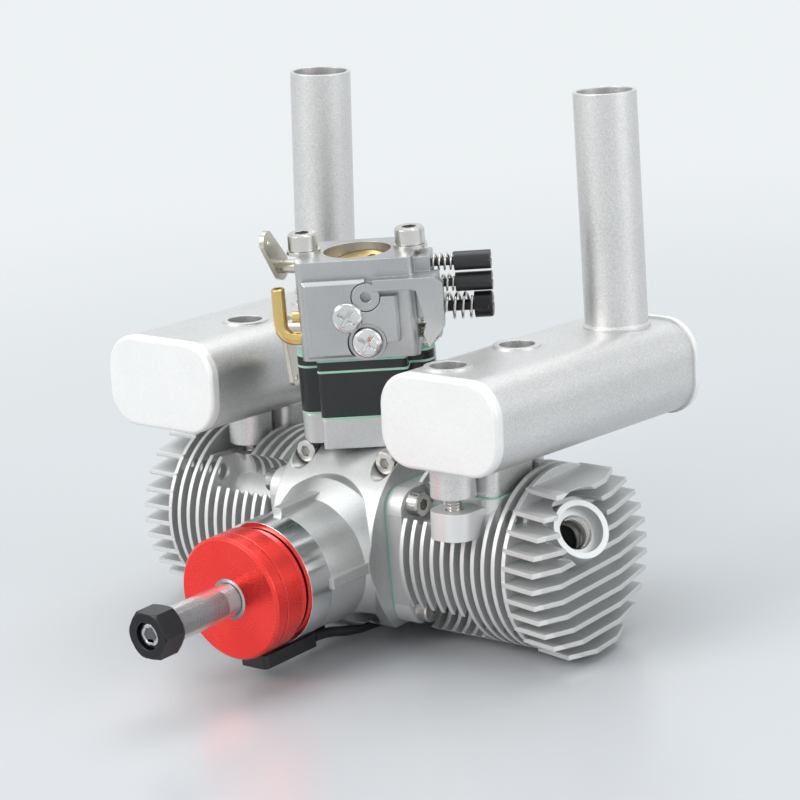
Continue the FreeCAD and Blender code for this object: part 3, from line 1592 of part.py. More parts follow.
NODES = {
    "crankcase": crankcase,
    "front_housing": front_housing,
    "nose_collar": nose_collar,
    "main_bearings": main_bearings,
    "oil_seal": oil_seal,
    "case_screws": case_screws,
    "rear_mount": rear_mount,
    "cylinder_right": cylinder_right,
    "cylinder_left": cylinder_left,
    "base_gaskets": base_gaskets,
    "cylinder_screws": cylinder_screws,
    "muffler_body_right": lambda: muffler_body(1),
    "muffler_body_left": lambda: muffler_body(-1),
    "muffler_caps_right": lambda: muffler_caps(1),
    "muffler_caps_left": lambda: muffler_caps(-1),
    "exhaust_pipe_right": lambda: exhaust_pipe(1),
    "exhaust_pipe_left": lambda: exhaust_pipe(-1),
    "exhaust_header_right": lambda: exhaust_header(1),
    "exhaust_header_left": lambda: exhaust_header(-1),
    "exhaust_gaskets": exhaust_gaskets,
    "muffler_screws": muffler_screws,
    "insulator_block": insulator_block,
    "carb_spacer": carb_spacer,
    "intake_gaskets": intake_gaskets,
    "reed_valve": reed_valve,
    "carb_body": carb_body,
    "pump_cover": pump_cover,
    "metering_cover": metering_cover,
    "carb_cover_screws": carb_cover_screws,
    "carb_bolts": carb_bolts,
    "carb_washers": carb_washers,
    "brass_fittings": brass_fittings,
    "throttle_shaft": throttle_shaft,
    "throttle_plate": throttle_plate,
    "throttle_spring": throttle_spring,
    "choke_shaft": choke_shaft,
    "choke_plate": choke_plate,
    "high_needle": lambda: needle(high_needle_up),
    "low_needle": lambda: needle(low_needle_up),
    "idle_screw": idle_screw,
    "adjuster_springs": adjuster_springs,
    "crankshaft": crankshaft,
    "prop_hub": prop_hub,
    "hub_magnet": hub_magnet,
    "shaft_sleeve": shaft_sleeve,
    "prop_nut": prop_nut,
    "piston_right": piston,
    "piston_left": lambda: half_turn(piston()),
    "piston_rings_right": piston_rings,
    "piston_rings_left": lambda: half_turn(piston_rings()),
    "wrist_pin_right": wrist_pin,
    "wrist_pin_left": lambda: half_turn(wrist_pin()),
    "connecting_rod_right": connecting_rod,
    "connecting_rod_left": lambda: half_turn(connecting_rod()),
    "sensor_body": sensor_body,
    "sensor_lead": sensor_lead,
    "sensor_plug": sensor_plug,
    "sensor_clips": sensor_clips,
    "small_screws": small_screws,
}

os.makedirs("parts", exist_ok=True)
for name, make in NODES.items():
    shape = make().copy()
    shape.translate(V(0, -mount_face, 0))
    bad = [solid for solid in shape.Solids if not solid.isValid() or not solid.isClosed()]
    print(name, len(shape.Solids), "solids", "volume %.0f" % shape.Volume, "bad" if bad else "")
    shape.exportStep("parts/%s.step" % name)
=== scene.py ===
import math

import bmesh
import bpy
import numpy
from mathutils import Matrix, Vector


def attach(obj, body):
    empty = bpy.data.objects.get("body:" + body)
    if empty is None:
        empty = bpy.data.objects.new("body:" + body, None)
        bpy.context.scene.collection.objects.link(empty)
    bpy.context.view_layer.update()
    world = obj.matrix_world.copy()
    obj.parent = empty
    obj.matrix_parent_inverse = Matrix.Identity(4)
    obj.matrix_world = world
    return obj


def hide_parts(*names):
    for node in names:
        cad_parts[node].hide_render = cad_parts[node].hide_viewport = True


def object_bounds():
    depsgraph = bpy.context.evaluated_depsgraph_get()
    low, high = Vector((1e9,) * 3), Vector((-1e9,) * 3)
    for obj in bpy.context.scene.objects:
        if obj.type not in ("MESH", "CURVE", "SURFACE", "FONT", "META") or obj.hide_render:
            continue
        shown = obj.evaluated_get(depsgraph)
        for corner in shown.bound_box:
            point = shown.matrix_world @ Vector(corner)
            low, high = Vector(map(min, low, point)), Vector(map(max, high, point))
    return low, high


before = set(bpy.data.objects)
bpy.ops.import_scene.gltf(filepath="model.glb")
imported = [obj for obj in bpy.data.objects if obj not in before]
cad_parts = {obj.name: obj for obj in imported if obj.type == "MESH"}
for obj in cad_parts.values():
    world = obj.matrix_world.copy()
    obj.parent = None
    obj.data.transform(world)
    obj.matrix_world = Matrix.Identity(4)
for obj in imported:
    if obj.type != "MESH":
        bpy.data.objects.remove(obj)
cad_low, cad_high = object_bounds()

# Studio. A sheet of pale grey card lies under the engine and fades into the paler backdrop
# behind it,
# so the floor is darker round the engine: partly the card's grey, partly painted shade. A soft
# box stands high on the left, one hangs overhead and a weaker one is on the right, and the
# camera has the photograph's place and lens. Lengths here are in metres.
mm = 0.001
camera_place = Vector((0.64971, -0.77954, 0.31634))
camera_azimuth = math.radians(40.93)
camera_height = math.radians(15.77)
camera_roll = math.radians(5.05)
camera_lens = 157.85
camera_sensor = 36.0
floor_level = cad_low.z
floor_half = 6.0
floor_roughness = 0.26
floor_gloss = 0.6
# The card's grey is partly painted shade: darker round the engine than the backdrop.
card_and_shade_colour = (0.57, 0.585, 0.605, 1.0)
backdrop_colour = (0.85, 0.885, 0.90, 1.0)
sky_colour = (0.82, 0.85, 0.87, 1.0)
sky_strength = 0.70
fade_start = 0.2
fade_end = 0.6


def aim_camera():
    """Turn the camera's axes to the photograph's: forward, level, then the small roll."""
    sin_a, cos_a = math.sin(camera_azimuth), math.cos(camera_azimuth)
    sin_e, cos_e = math.sin(camera_height), math.cos(camera_height)
    back = Vector((sin_a * cos_e, -cos_a * cos_e, sin_e))
    level = Vector((cos_a, sin_a, 0.0))
    upright = Vector((-sin_e * sin_a, sin_e * cos_a, cos_e))
    right = level * math.cos(camera_roll) - upright * math.sin(camera_roll)
    up = level * math.sin(camera_roll) + upright * math.cos(camera_roll)
    turn = Matrix((right, up, back)).transposed()
    lens = bpy.data.cameras.new("camera")
    lens.sensor_width = camera_sensor
    lens.lens = camera_lens
    lens.clip_start = 0.05
    lens.clip_end = 50.0
    camera = bpy.data.objects.new("camera", lens)
    camera.matrix_world = Matrix.Translation(camera_place) @ turn.to_4x4()
    bpy.context.collection.objects.link(camera)
    bpy.context.scene.camera = camera


def add_lamp(name, place, target, width, height, watts, colour):
    """A rectangular soft box at its place, turned to face its target."""
    light = bpy.data.lights.new(name, "AREA")
    light.shape = "RECTANGLE"
    light.size = width
    light.size_y = height
    light.energy = watts
    light.color = colour
    lamp = bpy.data.objects.new(name, light)
    lamp.location = place
    facing = Vector(target) - Vector(place)
    lamp.rotation_euler = facing.to_track_quat("-Z", "Y").to_euler()
    bpy.context.collection.objects.link(lamp)


def add_floor():
    """A polished grey card, with painted shade round the engine, that melts into the backdrop
    away from it.
    """
    card = bmesh.new()
    for x, y in ((-1, -1), (1, -1), (1, 1), (-1, 1)):
        card.verts.new((x * floor_half, y * floor_half, floor_level))
    card.faces.new(card.verts)
    mesh = bpy.data.meshes.new("floor")
    card.to_mesh(mesh)
    card.free()
    floor = bpy.data.objects.new("floor", mesh)
    bpy.context.collection.objects.link(floor)
    paint = bpy.data.materials.new("floor_card_and_shade")
    paint.use_nodes = True
    tree = paint.node_tree
    shader = tree.nodes["Principled BSDF"]
    # The card's colour, partly painted shade round the engine, faded out below by its alpha.
    shader.inputs["Base Color"].default_value = card_and_shade_colour
    shader.inputs["Roughness"].default_value = floor_roughness
    shader.inputs["Specular IOR Level"].default_value = floor_gloss
    place = tree.nodes.new("ShaderNodeTexCoord").outputs["Object"]
    reach = tree.nodes.new("ShaderNodeVectorMath")
    reach.operation = "LENGTH"
    tree.links.new(place, reach.inputs[0])
    fade = tree.nodes.new("ShaderNodeMapRange")
    fade.interpolation_type = "SMOOTHSTEP"
    fade.inputs["From Min"].default_value = fade_start
    fade.inputs["From Max"].default_value = fade_end
    fade.inputs["To Min"].default_value = 1.0
    fade.inputs["To Max"].default_value = 0.0
    tree.links.new(reach.outputs["Value"], fade.inputs["Value"])
    tree.links.new(fade.outputs["Result"], shader.inputs["Alpha"])
    mesh.materials.append(paint)


def add_backdrop():
    """The backdrop that the camera, metal and clear plastic see, and the room's soft light."""
    world = bpy.data.worlds.new("studio")
    world.use_nodes = True
    tree = world.node_tree
    room = tree.nodes["Background"]
    room.inputs["Color"].default_value = sky_colour
    room.inputs["Strength"].default_value = sky_strength
    paper = tree.nodes.new("ShaderNodeBackground")
    paper.inputs["Color"].default_value = backdrop_colour
    rays = tree.nodes.new("ShaderNodeLightPath").outputs
    seen = rays["Is Camera Ray"]
    for name in ("Is Glossy Ray", "Is Transmission Ray"):
        either = tree.nodes.new("ShaderNodeMath")
        either.operation = "MAXIMUM"
        tree.links.new(seen, either.inputs[0])
        tree.links.new(rays[name], either.inputs[1])
        seen = either.outputs[0]
    choice = tree.nodes.new("ShaderNodeMixShader")
    tree.links.new(seen, choice.inputs[0])
    tree.links.new(room.outputs[0], choice.inputs[1])
    tree.links.new(paper.outputs[0], choice.inputs[2])
    tree.links.new(choice.outputs[0], tree.nodes["World Output"].inputs["Surface"])
    bpy.context.scene.world = world


aim_camera()
add_floor()
add_backdrop()
add_lamp("key_box", place=(-0.55, -1.25, 0.95), target=(0, -0.04, 0.03),
         width=0.9, height=0.7, watts=12.0, colour=(1.0, 0.99, 0.97))
add_lamp("top_box", place=(-0.1, 0.25, 1.25), target=(0, 0, 0.03),
         width=1.1, height=1.1, watts=9.0, colour=(0.97, 0.99, 1.0))
add_lamp("right_box", place=(1.25, 0.15, 0.55), target=(0, 0, 0.03),
         width=0.7, height=0.7, watts=4.0, colour=(1.0, 1.0, 1.0))
bpy.context.scene.view_settings.view_transform = "Standard"

# Crankcase and front housing. Two die-cast aluminium halves, tumbled to a soft grey sheen.
# The joint faces and seats are machined, and every cast edge is worn a little brighter.
fine_weight = 0.6
coarse_scale = 0.55
cloud_scale = 55.0
grain_contrast = 2.6
cloud_contrast = 2.0
edge_samples = 4
edge_gain = 5.0
chip_scale = 900.0
chip_contrast = 1.6
chip_level = -0.1
grain_height = 0.1 * mm
sheen_spread = 0.1
worn_polish = 0.12


def new_group(name, inputs, outputs, kind="ShaderNodeTree"):
    """An empty node group with named sockets, and its input and output nodes."""
    tree = bpy.data.node_groups.new(name, kind)
    for label, form, value in inputs:
        socket = tree.interface.new_socket(
            label, in_out="INPUT", socket_type="NodeSocket" + form)
        if value is not None:
            socket.default_value = value
    for label, form in outputs:
        tree.interface.new_socket(label, in_out="OUTPUT", socket_type="NodeSocket" + form)
    return tree, tree.nodes.new("NodeGroupInput"), tree.nodes.new("NodeGroupOutput")


def put(tree, kind, settings=None, **sockets):
    """A node with its settings; each named socket is linked or given its value."""
    node = tree.nodes.new(kind)
    for key, value in (settings or {}).items():
        setattr(node, key, value)
    for key, value in sockets.items():
        fill(tree, node.inputs[key.replace("_", " ")], value)
    return node


def fill(tree, socket, value):
    """Link a socket to another node's output, or give it a plain value."""
    if isinstance(value, bpy.types.NodeSocket):
        tree.links.new(value, socket)
    else:
        socket.default_value = value


def calc(tree, operation, first, second=0.0, third=0.0, clamp=False):
    """One step of arithmetic on sockets or numbers."""
    node = put(tree, "ShaderNodeMath", {"operation": operation, "use_clamp": clamp})
    for socket, value in zip(node.inputs, (first, second, third)):
        fill(tree, socket, value)
    return node.outputs[0]


def plus(tree, first, second):
    return calc(tree, "ADD", first, second)


def minus(tree, first, second, clamp=False):
    return calc(tree, "SUBTRACT", first, second, clamp=clamp)


def times(tree, first, second, clamp=False):
    return calc(tree, "MULTIPLY", first, second, clamp=clamp)


def blend_colour(tree, amount, first, second):
    """The first colour where the amount is 0 and the second where it is 1."""
    node = put(tree, "ShaderNodeMix", {"data_type": "RGBA"})
    fill(tree, node.inputs[0], amount)
    fill(tree, node.inputs[6], first)
    fill(tree, node.inputs[7], second)
    return node.outputs[2]


def noise(tree, place, scale, detail, **sockets):
    """The value of a noise pattern at each place."""
    return put(tree, "ShaderNodeTexNoise", None, Vector=place, Scale=scale, Detail=detail,
               **sockets).outputs["Fac"]


def build_grain():
    """Fine grain with broad cloudy changes: Tone for colour, Height for the bump."""
    tree, start, end = new_group(
        "cast_grain",
        (("Vector", "Vector", None), ("Grain", "Float", 0.3), ("Clouds", "Float", 0.5)),
        (("Tone", "Float"), ("Height", "Float")),
    )
    place = start.outputs["Vector"]
    scale = calc(tree, "DIVIDE", 1 / mm, start.outputs["Grain"])
    fine = noise(tree, place, scale, 3.0, Roughness=0.6)
    coarse = noise(tree, place, times(tree, scale, coarse_scale), 2.0)
    broad = noise(tree, place, cloud_scale, 3.0)
    speck = plus(tree, times(tree, fine, fine_weight), times(tree, coarse, 1 - fine_weight))
    spread = calc(tree, "MULTIPLY_ADD", minus(tree, speck, 0.5), grain_contrast, 0.5,
                  clamp=True)
    cloud = calc(tree, "MULTIPLY_ADD", minus(tree, broad, 0.5), cloud_contrast, 0.5,
                 clamp=True)
    mixed = put(tree, "ShaderNodeMix", {"data_type": "FLOAT"})
    fill(tree, mixed.inputs[0], start.outputs["Clouds"])
    fill(tree, mixed.inputs[2], spread)
    fill(tree, mixed.inputs[3], cloud)
    tree.links.new(mixed.outputs[0], end.inputs["Tone"])
    tree.links.new(speck, end.inputs["Height"])
    return tree


def build_wear():
    """Where an edge is, within a width: a mask for wear, and the softened normal."""
    tree, start, end = new_group(
        "edge_wear",
        (("Vector", "Vector", None), ("Width", "Float", 0.0003)),
        (("Mask", "Float"), ("Normal", "Vector")),
    )
    soft = put(tree, "ShaderNodeBevel", {"samples": edge_samples},
               Radius=start.outputs["Width"]).outputs["Normal"]
    true = tree.nodes.new("ShaderNodeNewGeometry").outputs["Normal"]
    facing = put(tree, "ShaderNodeVectorMath", {"operation": "DOT_PRODUCT"})
    tree.links.new(soft, facing.inputs[0])
    tree.links.new(true, facing.inputs[1])
    edge = times(tree, minus(tree, 1.0, facing.outputs["Value"]), edge_gain, clamp=True)
    chips = noise(tree, start.outputs["Vector"], chip_scale, 3.0)
    broken = calc(tree, "MULTIPLY_ADD", chips, chip_contrast, chip_level, clamp=True)
    tree.links.new(times(tree, edge, broken), end.inputs["Mask"])
    tree.links.new(soft, end.inputs["Normal"])
    return tree


grain_group = build_grain()
wear_group = build_wear()


def use_group(tree, group, **sockets):
    return put(tree, "ShaderNodeGroup", {"node_tree": group}, **sockets)


def finish_material(name, dark, light, worn, rough, grain=0.3, clouds=0.4, bump=0.1,
                    edge=0.3, metal=1.0, wear=0.8, settings=None):
    """A surface from its darker, lighter and worn colours, its grain and edges in mm."""
    surface = bpy.data.materials.new(name)
    surface.use_nodes = True
    tree = surface.node_tree
    shader = tree.nodes["Principled BSDF"]
    place = tree.nodes.new("ShaderNodeTexCoord").outputs["Object"]
    grains = use_group(tree, grain_group, Vector=place, Grain=grain, Clouds=clouds)
    edges = use_group(tree, wear_group, Vector=place, Width=edge * mm)
    tone = grains.outputs["Tone"]
    body = blend_colour(tree, tone, (*dark, 1.0), (*light, 1.0))
    mask = times(tree, edges.outputs["Mask"], wear)
    tree.links.new(blend_colour(tree, mask, body, (*worn, 1.0)), shader.inputs["Base Color"])
    sheen = calc(tree, "MULTIPLY_ADD", tone, sheen_spread, rough - sheen_spread / 2)
    tree.links.new(minus(tree, sheen, times(tree, mask, worn_polish)),
                   shader.inputs["Roughness"])
    relief = put(tree, "ShaderNodeBump", None, Strength=bump, Distance=grain_height,
                 Height=grains.outputs["Height"], Normal=edges.outputs["Normal"])
    tree.links.new(relief.outputs[0], shader.inputs["Normal"])
    shader.inputs["Metallic"].default_value = metal
    for key, value in (settings or {}).items():
        shader.inputs[key].default_value = value
    return surface


def dress(material, *names):
    """Give CAD nodes their finished material in place of the plain one."""
    for name in names:
        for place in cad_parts[name].material_slots:
            place.material = material


cast_grey = finish_material(
    "cast_grey", (0.50, 0.505, 0.50), (0.68, 0.685, 0.68), (0.88, 0.88, 0.87), 0.40,
    grain=0.45, clouds=0.5, bump=0.32, edge=0.5, metal=0.85)
dress(cast_grey, "crankcase", "front_housing")

# Nose collar. A turned ring of bright aluminium pressed on the end of the nose, polished
# on the lathe; it carries the front bearing and the oil seal.
feed_slope = 1.37
ring_height = 0.05 * mm


def distance(tree, first, second):
    """How far a point is from an axis, from its two offsets."""
    squares = [times(tree, part, part) for part in (first, second)]
    return calc(tree, "SQRT", plus(tree, *squares))


def turned_material(name, dark, light, worn, rough, pitch, depth, metal=1.0):
    """Lathe-turned metal: fine rings about the crankshaft's axis, at a pitch in mm."""
    surface = finish_material(name, dark, light, worn, rough, grain=0.25, clouds=0.7,
                              bump=0.02, edge=0.25, metal=metal)
    tree = surface.node_tree
    shader = tree.nodes["Principled BSDF"]
    place = tree.nodes.new("ShaderNodeTexCoord").outputs["Object"]
    parts = put(tree, "ShaderNodeSeparateXYZ", None, Vector=place).outputs
    radius = distance(tree, parts["X"], parts["Z"])
    cut = plus(tree, radius, times(tree, parts["Y"], feed_slope))
    rings = put(tree, "ShaderNodeTexNoise", {"noise_dimensions": "1D"}, W=cut,
                Scale=1.0 / (pitch * mm), Detail=2.0)
    old = shader.inputs["Normal"].links[0].from_node
    ridge = put(tree, "ShaderNodeBump", None, Strength=depth, Distance=ring_height,
                Height=rings.outputs["Fac"], Normal=old.outputs[0])
    tree.links.new(ridge.outputs[0], shader.inputs["Normal"])
    return surface


collar_bright = turned_material(
    "collar_bright", (0.74, 0.75, 0.77), (0.86, 0.87, 0.88), (0.95, 0.94, 0.90), 0.14,
    pitch=0.12, depth=0.10)
dress(collar_bright, "nose_collar")

# Main bearings and oil seal. Shielded ball bearings of ground steel, and a black rubber
# lip seal in front of the foremost one; all are inside once the engine is closed.
bearing_steel = turned_material(
    "bearing_ground_steel", (0.60, 0.60, 0.62), (0.72, 0.72, 0.74), (0.85, 0.85, 0.86), 0.2,
    pitch=0.2, depth=0.06)
dress(bearing_steel, "main_bearings")
seal_rubber = finish_material(
    "seal_rubber", (0.015, 0.015, 0.016), (0.035, 0.035, 0.037), (0.06, 0.06, 0.06), 0.62,
    grain=0.2, bump=0.2, metal=0.0, wear=0.4)
dress(seal_rubber, "oil_seal")

# Crankshaft. Forged steel with two crank pins, turned and ground all over. The thread for
# the propeller nut is rolled on its front end, in front of a short plain relief, and a
# hexagon socket is sunk in the end face.
stud_start = -110.5 * mm
stud_end = -143.0 * mm
stud_crest = 3.98 * mm
stud_root = 3.55 * mm
stud_pitch = 1.25 * mm
stud_relief = 4.0 * mm
stud_play = 0.05 * mm
stud_end_gap = 0.1 * mm
plain_low = 3.9 * mm
plain_high = 4.1 * mm
hexagon_half_flats = 1.25 * mm
hexagon_depth = 3.0 * mm
flat_gap = 0.01 * mm
weld_gap = 0.002 * mm
smallest_edge = 0.0001 * mm
sharp_angle = math.radians(32)
thread_sides = 24
thread_rows = 6.0
thread_end = 0.4999
seam_gap = 0.001 * mm


def unit_sheet(tree, sides, rows):
    """A flat sheet to roll up, and how far round and along it each point lies, 0 to 1."""
    grid = put(tree, "GeometryNodeMeshGrid", None, Size_X=1.0, Size_Y=1.0,
               Vertices_X=sides + 1, Vertices_Y=rows)
    where = tree.nodes.new("GeometryNodeInputPosition").outputs[0]
    parts = put(tree, "ShaderNodeSeparateXYZ", None, Vector=where).outputs
    return grid.outputs["Mesh"], plus(tree, parts["X"], 0.5), plus(tree, parts["Y"], 0.5)


def wrap_round(tree, sheet, around, radius, height):
    """Roll a unit sheet up about Z to the given radius and height, and close its seam."""
    angle = times(tree, around, 2 * math.pi)
    spot = put(tree, "ShaderNodeCombineXYZ", None,
               X=times(tree, radius, calc(tree, "COSINE", angle)),
               Y=times(tree, radius, calc(tree, "SINE", angle)), Z=height)
    moved = put(tree, "GeometryNodeSetPosition", None, Geometry=sheet,
                Position=spot.outputs[0])
    return put(tree, "GeometryNodeMergeByDistance", None, Geometry=moved.outputs[0],
               Distance=seam_gap).outputs[0]


def build_thread():
    """A rolled thread along Z: a tube whose radius follows the helix and is nought in its
    first and last rows, which closes the ends."""
    tree, start, end = new_group(
        "rolled_thread",
        (("Root", "Float", 0.0017), ("Crest", "Float", 0.002), ("Pitch", "Float", 0.0007),
         ("Length", "Float", 0.01)),
        (("Mesh", "Geometry"),),
        "GeometryNodeTree",
    )
    sizes = start.outputs
    turns = calc(tree, "DIVIDE", sizes["Length"], sizes["Pitch"])
    rows = plus(tree, calc(tree, "ROUND", times(tree, turns, thread_rows)), 1.0)
    sheet, around, along = unit_sheet(tree, thread_sides, rows)
    phase = calc(tree, "FRACT", minus(tree, times(tree, along, turns), around))
    flank = calc(tree, "ABSOLUTE", calc(tree, "MULTIPLY_ADD", phase, 2.0, -1.0))
    depth = minus(tree, sizes["Crest"], sizes["Root"])
    radius = calc(tree, "MULTIPLY_ADD", depth, minus(tree, 1.0, flank), sizes["Root"])
    off_middle = calc(tree, "ABSOLUTE", minus(tree, along, 0.5))
    radius = times(tree, radius, calc(tree, "LESS_THAN", off_middle, thread_end))
    tube = wrap_round(tree, sheet, around, radius, times(tree, along, sizes["Length"]))
    tree.links.new(tube, end.inputs["Mesh"])
    return tree


def finish_tree(tree, start, end, mesh):
    """Stand a copy of the mesh on every spot along its axis, real and with its material."""
    axis = put(tree, "GeometryNodeInputNamedAttribute", {"data_type": "FLOAT_VECTOR"},
               Name="axis").outputs[0]
    turn = put(tree, "FunctionNodeAlignRotationToVector", {"axis": "Z"},
               Vector=axis).outputs[0]
    copies = put(tree, "GeometryNodeInstanceOnPoints", None, Points=start.outputs["Spots"],
                 Instance=mesh, Rotation=turn)
    real = put(tree, "GeometryNodeRealizeInstances", None, Geometry=copies.outputs[0])
    dressed = put(tree, "GeometryNodeSetMaterial", None, Geometry=real.outputs[0],
                  Material=start.outputs["Material"])
    tree.links.new(dressed.outputs[0], end.inputs["Result"])


def build_stud():
    """A plain length of thread on each spot."""
    tree, start, end = new_group(
        "threaded_rod",
        (("Spots", "Geometry", None), ("Root", "Float", 0.0035), ("Crest", "Float", 0.004),
         ("Pitch", "Float", 0.00125), ("Length", "Float", 0.03),
         ("Material", "Material", None)),
        (("Result", "Geometry"),),
        "GeometryNodeTree",
    )
    sizes = start.outputs
    rod = put(tree, "GeometryNodeGroup", {"node_tree": thread_tree}, Root=sizes["Root"],
              Crest=sizes["Crest"], Pitch=sizes["Pitch"], Length=sizes["Length"])
    finish_tree(tree, start, end, rod.outputs[0])
    return tree


thread_tree = build_thread()
stud_tree = build_stud()


def outward_faces(mesh):
    """Drop faces of no area, point the rest outwards, and shade all but the sharp edges."""
    form = bmesh.new()
    form.from_mesh(mesh)
    bmesh.ops.dissolve_degenerate(form, dist=smallest_edge, edges=form.edges)
    bmesh.ops.recalc_face_normals(form, faces=form.faces)
    form.to_mesh(mesh)
    form.free()
    for face in mesh.polygons:
        face.use_smooth = True
    mesh.set_sharp_from_angle(angle=sharp_angle)


def grow(name, tree, spots, material, body, sizes):
    """Run a tree on spots, each a place and an axis, and keep the result as a plain mesh."""
    seed = bpy.data.meshes.new(name + "_spots")
    seed.from_pydata([place for place, _ in spots], [], [])
    axes = seed.attributes.new("axis", "FLOAT_VECTOR", "POINT")
    for number, (_, run) in enumerate(spots):
        axes.data[number].vector = run
    holder = bpy.data.objects.new(name + "_holder", seed)
    bpy.context.collection.objects.link(holder)
    modifier = holder.modifiers.new("grow", "NODES")
    modifier.node_group = tree
    values = {**sizes, "Material": material}
    for socket in tree.interface.items_tree:
        if socket.in_out == "INPUT" and socket.name in values:
            modifier[socket.identifier] = values[socket.name]
    graph = bpy.context.evaluated_depsgraph_get()
    mesh = bpy.data.meshes.new_from_object(holder.evaluated_get(graph), depsgraph=graph)
    mesh.name = name
    bpy.data.objects.remove(holder)
    outward_faces(mesh)
    piece = bpy.data.objects.new(name, mesh)
    bpy.context.collection.objects.link(piece)
    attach(piece, body)
    return piece


def faces_at(form, front):
    """The faces that lie in the flat front end of the shaft."""
    return [face for face in form.faces
            if all(corner.co.y < front + flat_gap for corner in face.verts)]


def sink_socket(form):
    """A hexagon socket in the flat front end of the shaft."""
    sixth = math.pi / 3
    front = min(corner.co.y for corner in form.verts)
    bmesh.ops.dissolve_faces(form, faces=faces_at(form, front))
    end = max(faces_at(form, front), key=lambda face: face.calc_area())
    outer = list(end.verts)
    form.faces.remove(end)
    rings = [outer]
    for y in (front, front + hexagon_depth):
        ring = []
        for corner in outer:
            turn = math.atan2(corner.co.z, corner.co.x)
            reach = hexagon_half_flats / math.cos(turn % sixth - sixth / 2)
            ring.append(form.verts.new((reach * math.cos(turn), y, reach * math.sin(turn))))
        rings.append(ring)
    for near, far in zip(rings, rings[1:]):
        for number in range(len(outer)):
            after = (number + 1) % len(outer)
            form.faces.new((near[number], near[after], far[after], far[number]))
    form.faces.new(rings[-1])


def shaft_for_thread(material):
    """The crankshaft with its front end brought down to the root of the thread."""
    form = bmesh.new()
    form.from_mesh(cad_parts["crankshaft"].data)
    bmesh.ops.remove_doubles(form, verts=form.verts, dist=weld_gap)
    for corner in form.verts:
        radius = math.hypot(corner.co.x, corner.co.z)
        if corner.co.y < stud_start + flat_gap and plain_low < radius < plain_high:
            corner.co.x *= (stud_root - stud_play) / radius
            corner.co.z *= (stud_root - stud_play) / radius
    sink_socket(form)
    mesh = bpy.data.meshes.new("crankshaft_turned")
    form.to_mesh(mesh)
    form.free()
    outward_faces(mesh)
    mesh.materials.append(material)
    shaft = bpy.data.objects.new("crankshaft_turned", mesh)
    bpy.context.collection.objects.link(shaft)
    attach(shaft, "crank")
    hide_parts("crankshaft")


forged_steel = turned_material(
    "forged_steel", (0.44, 0.44, 0.45), (0.58, 0.58, 0.60), (0.80, 0.80, 0.80), 0.28,
    pitch=0.2, depth=0.06)
thread_steel = finish_material(
    "thread_steel", (0.10, 0.10, 0.11), (0.20, 0.20, 0.21), (0.52, 0.52, 0.53), 0.3,
    grain=0.3, clouds=0.6, bump=0.04, edge=0.12)
shaft_for_thread(forged_steel)
thread_foot = Vector((0, stud_start - stud_relief, 0))
grow("shaft_thread", stud_tree, [(thread_foot, Vector((0, -1, 0)))], thread_steel, "crank", {
    "Root": stud_root, "Crest": stud_crest, "Pitch": stud_pitch,
    "Length": stud_start - stud_relief - stud_end - stud_end_gap})

# Rods, pistons, rings and wrist pins. Forged steel rods and ground pins, cast iron rings,
# and cast aluminium pistons. All of them run inside the closed engine.
dress(forged_steel, "wrist_pin_right", "wrist_pin_left", "connecting_rod_right",
      "connecting_rod_left", "piston_rings_right", "piston_rings_left")
dress(cast_grey, "piston_right", "piston_left")

# Cylinders. Each is one aluminium casting with its head: rough grey between the fins, and
# brighter where the rims of the barrel fins were turned and the head fins were trimmed.
barrel_setback = 40.0 * mm
turned_rim = 26.6 * mm
rim_sharpness = 8000.0
rim_share = 0.75
rim_colour = (0.84, 0.84, 0.83, 1.0)


def cylinder_material():
    """Rough casting that turns bright beyond the radius where the fin rims were cut."""
    surface = finish_material(
        "cylinder_casting", (0.58, 0.585, 0.585), (0.72, 0.725, 0.72), (0.92, 0.92, 0.91),
        0.48, grain=0.35, clouds=0.45, bump=0.3, edge=0.3, metal=0.6, wear=0.7)
    tree = surface.node_tree
    shader = tree.nodes["Principled BSDF"]
    place = tree.nodes.new("ShaderNodeTexCoord").outputs["Object"]
    parts = put(tree, "ShaderNodeSeparateXYZ", None, Vector=place).outputs
    radius = distance(tree, plus(tree, parts["Y"], barrel_setback), parts["Z"])
    rim = times(tree, minus(tree, radius, turned_rim), rim_sharpness, clamp=True)
    cast = shader.inputs["Base Color"].links[0].from_socket
    tree.links.new(blend_colour(tree, times(tree, rim, rim_share), cast, rim_colour),
                   shader.inputs["Base Color"])
    return surface


cylinder_cast = cylinder_material()
dress(cylinder_cast, "cylinder_right", "cylinder_left")

# Gaskets. Pale green fibre sheet, stamped to the shape of each joint and clamped in it, so
# only a thin line shows at the cylinders' feet, the exhaust flanges and the intake.
gasket_green = finish_material(
    "gasket_green", (0.30, 0.62, 0.47), (0.46, 0.76, 0.60), (0.60, 0.82, 0.70), 0.7,
    grain=0.4, clouds=0.3, bump=0.3, metal=0.0, wear=0.4)
dress(gasket_green, "base_gaskets", "exhaust_gaskets", "intake_gaskets")

# Screws. Stainless socket screws: the head turned, knurled and broached, the shank rolled
# with a thread. Each stands where its CAD solid stands, read from that solid's own mesh.
screw_sides = 72
knurl_ridges = 36.0
head_foot = 0.94
head_edge = 0.07
knurl_foot = 1.6
knurl_top = 0.80
crown_radius = 0.985
crown_height = 0.9
head_rim = 0.88
key_floor = 0.4
thread_cut = 0.54
shank_drop = -0.999
screw_key_share = 0.78
screw_pitch_share = 0.33
head_share = 0.97
tip_depth = 0.2 * mm
steps_per_metre = 10000


def pick(tree, station, values):
    """The value that belongs to a station number along the profile."""
    node = tree.nodes.new("GeometryNodeIndexSwitch")
    node.data_type = "FLOAT"
    while len(node.index_switch_items) < len(values):
        node.index_switch_items.new()
    fill(tree, node.inputs["Index"], station)
    for number, value in enumerate(values):
        fill(tree, node.inputs[number + 1], value)
    return node.outputs[0]


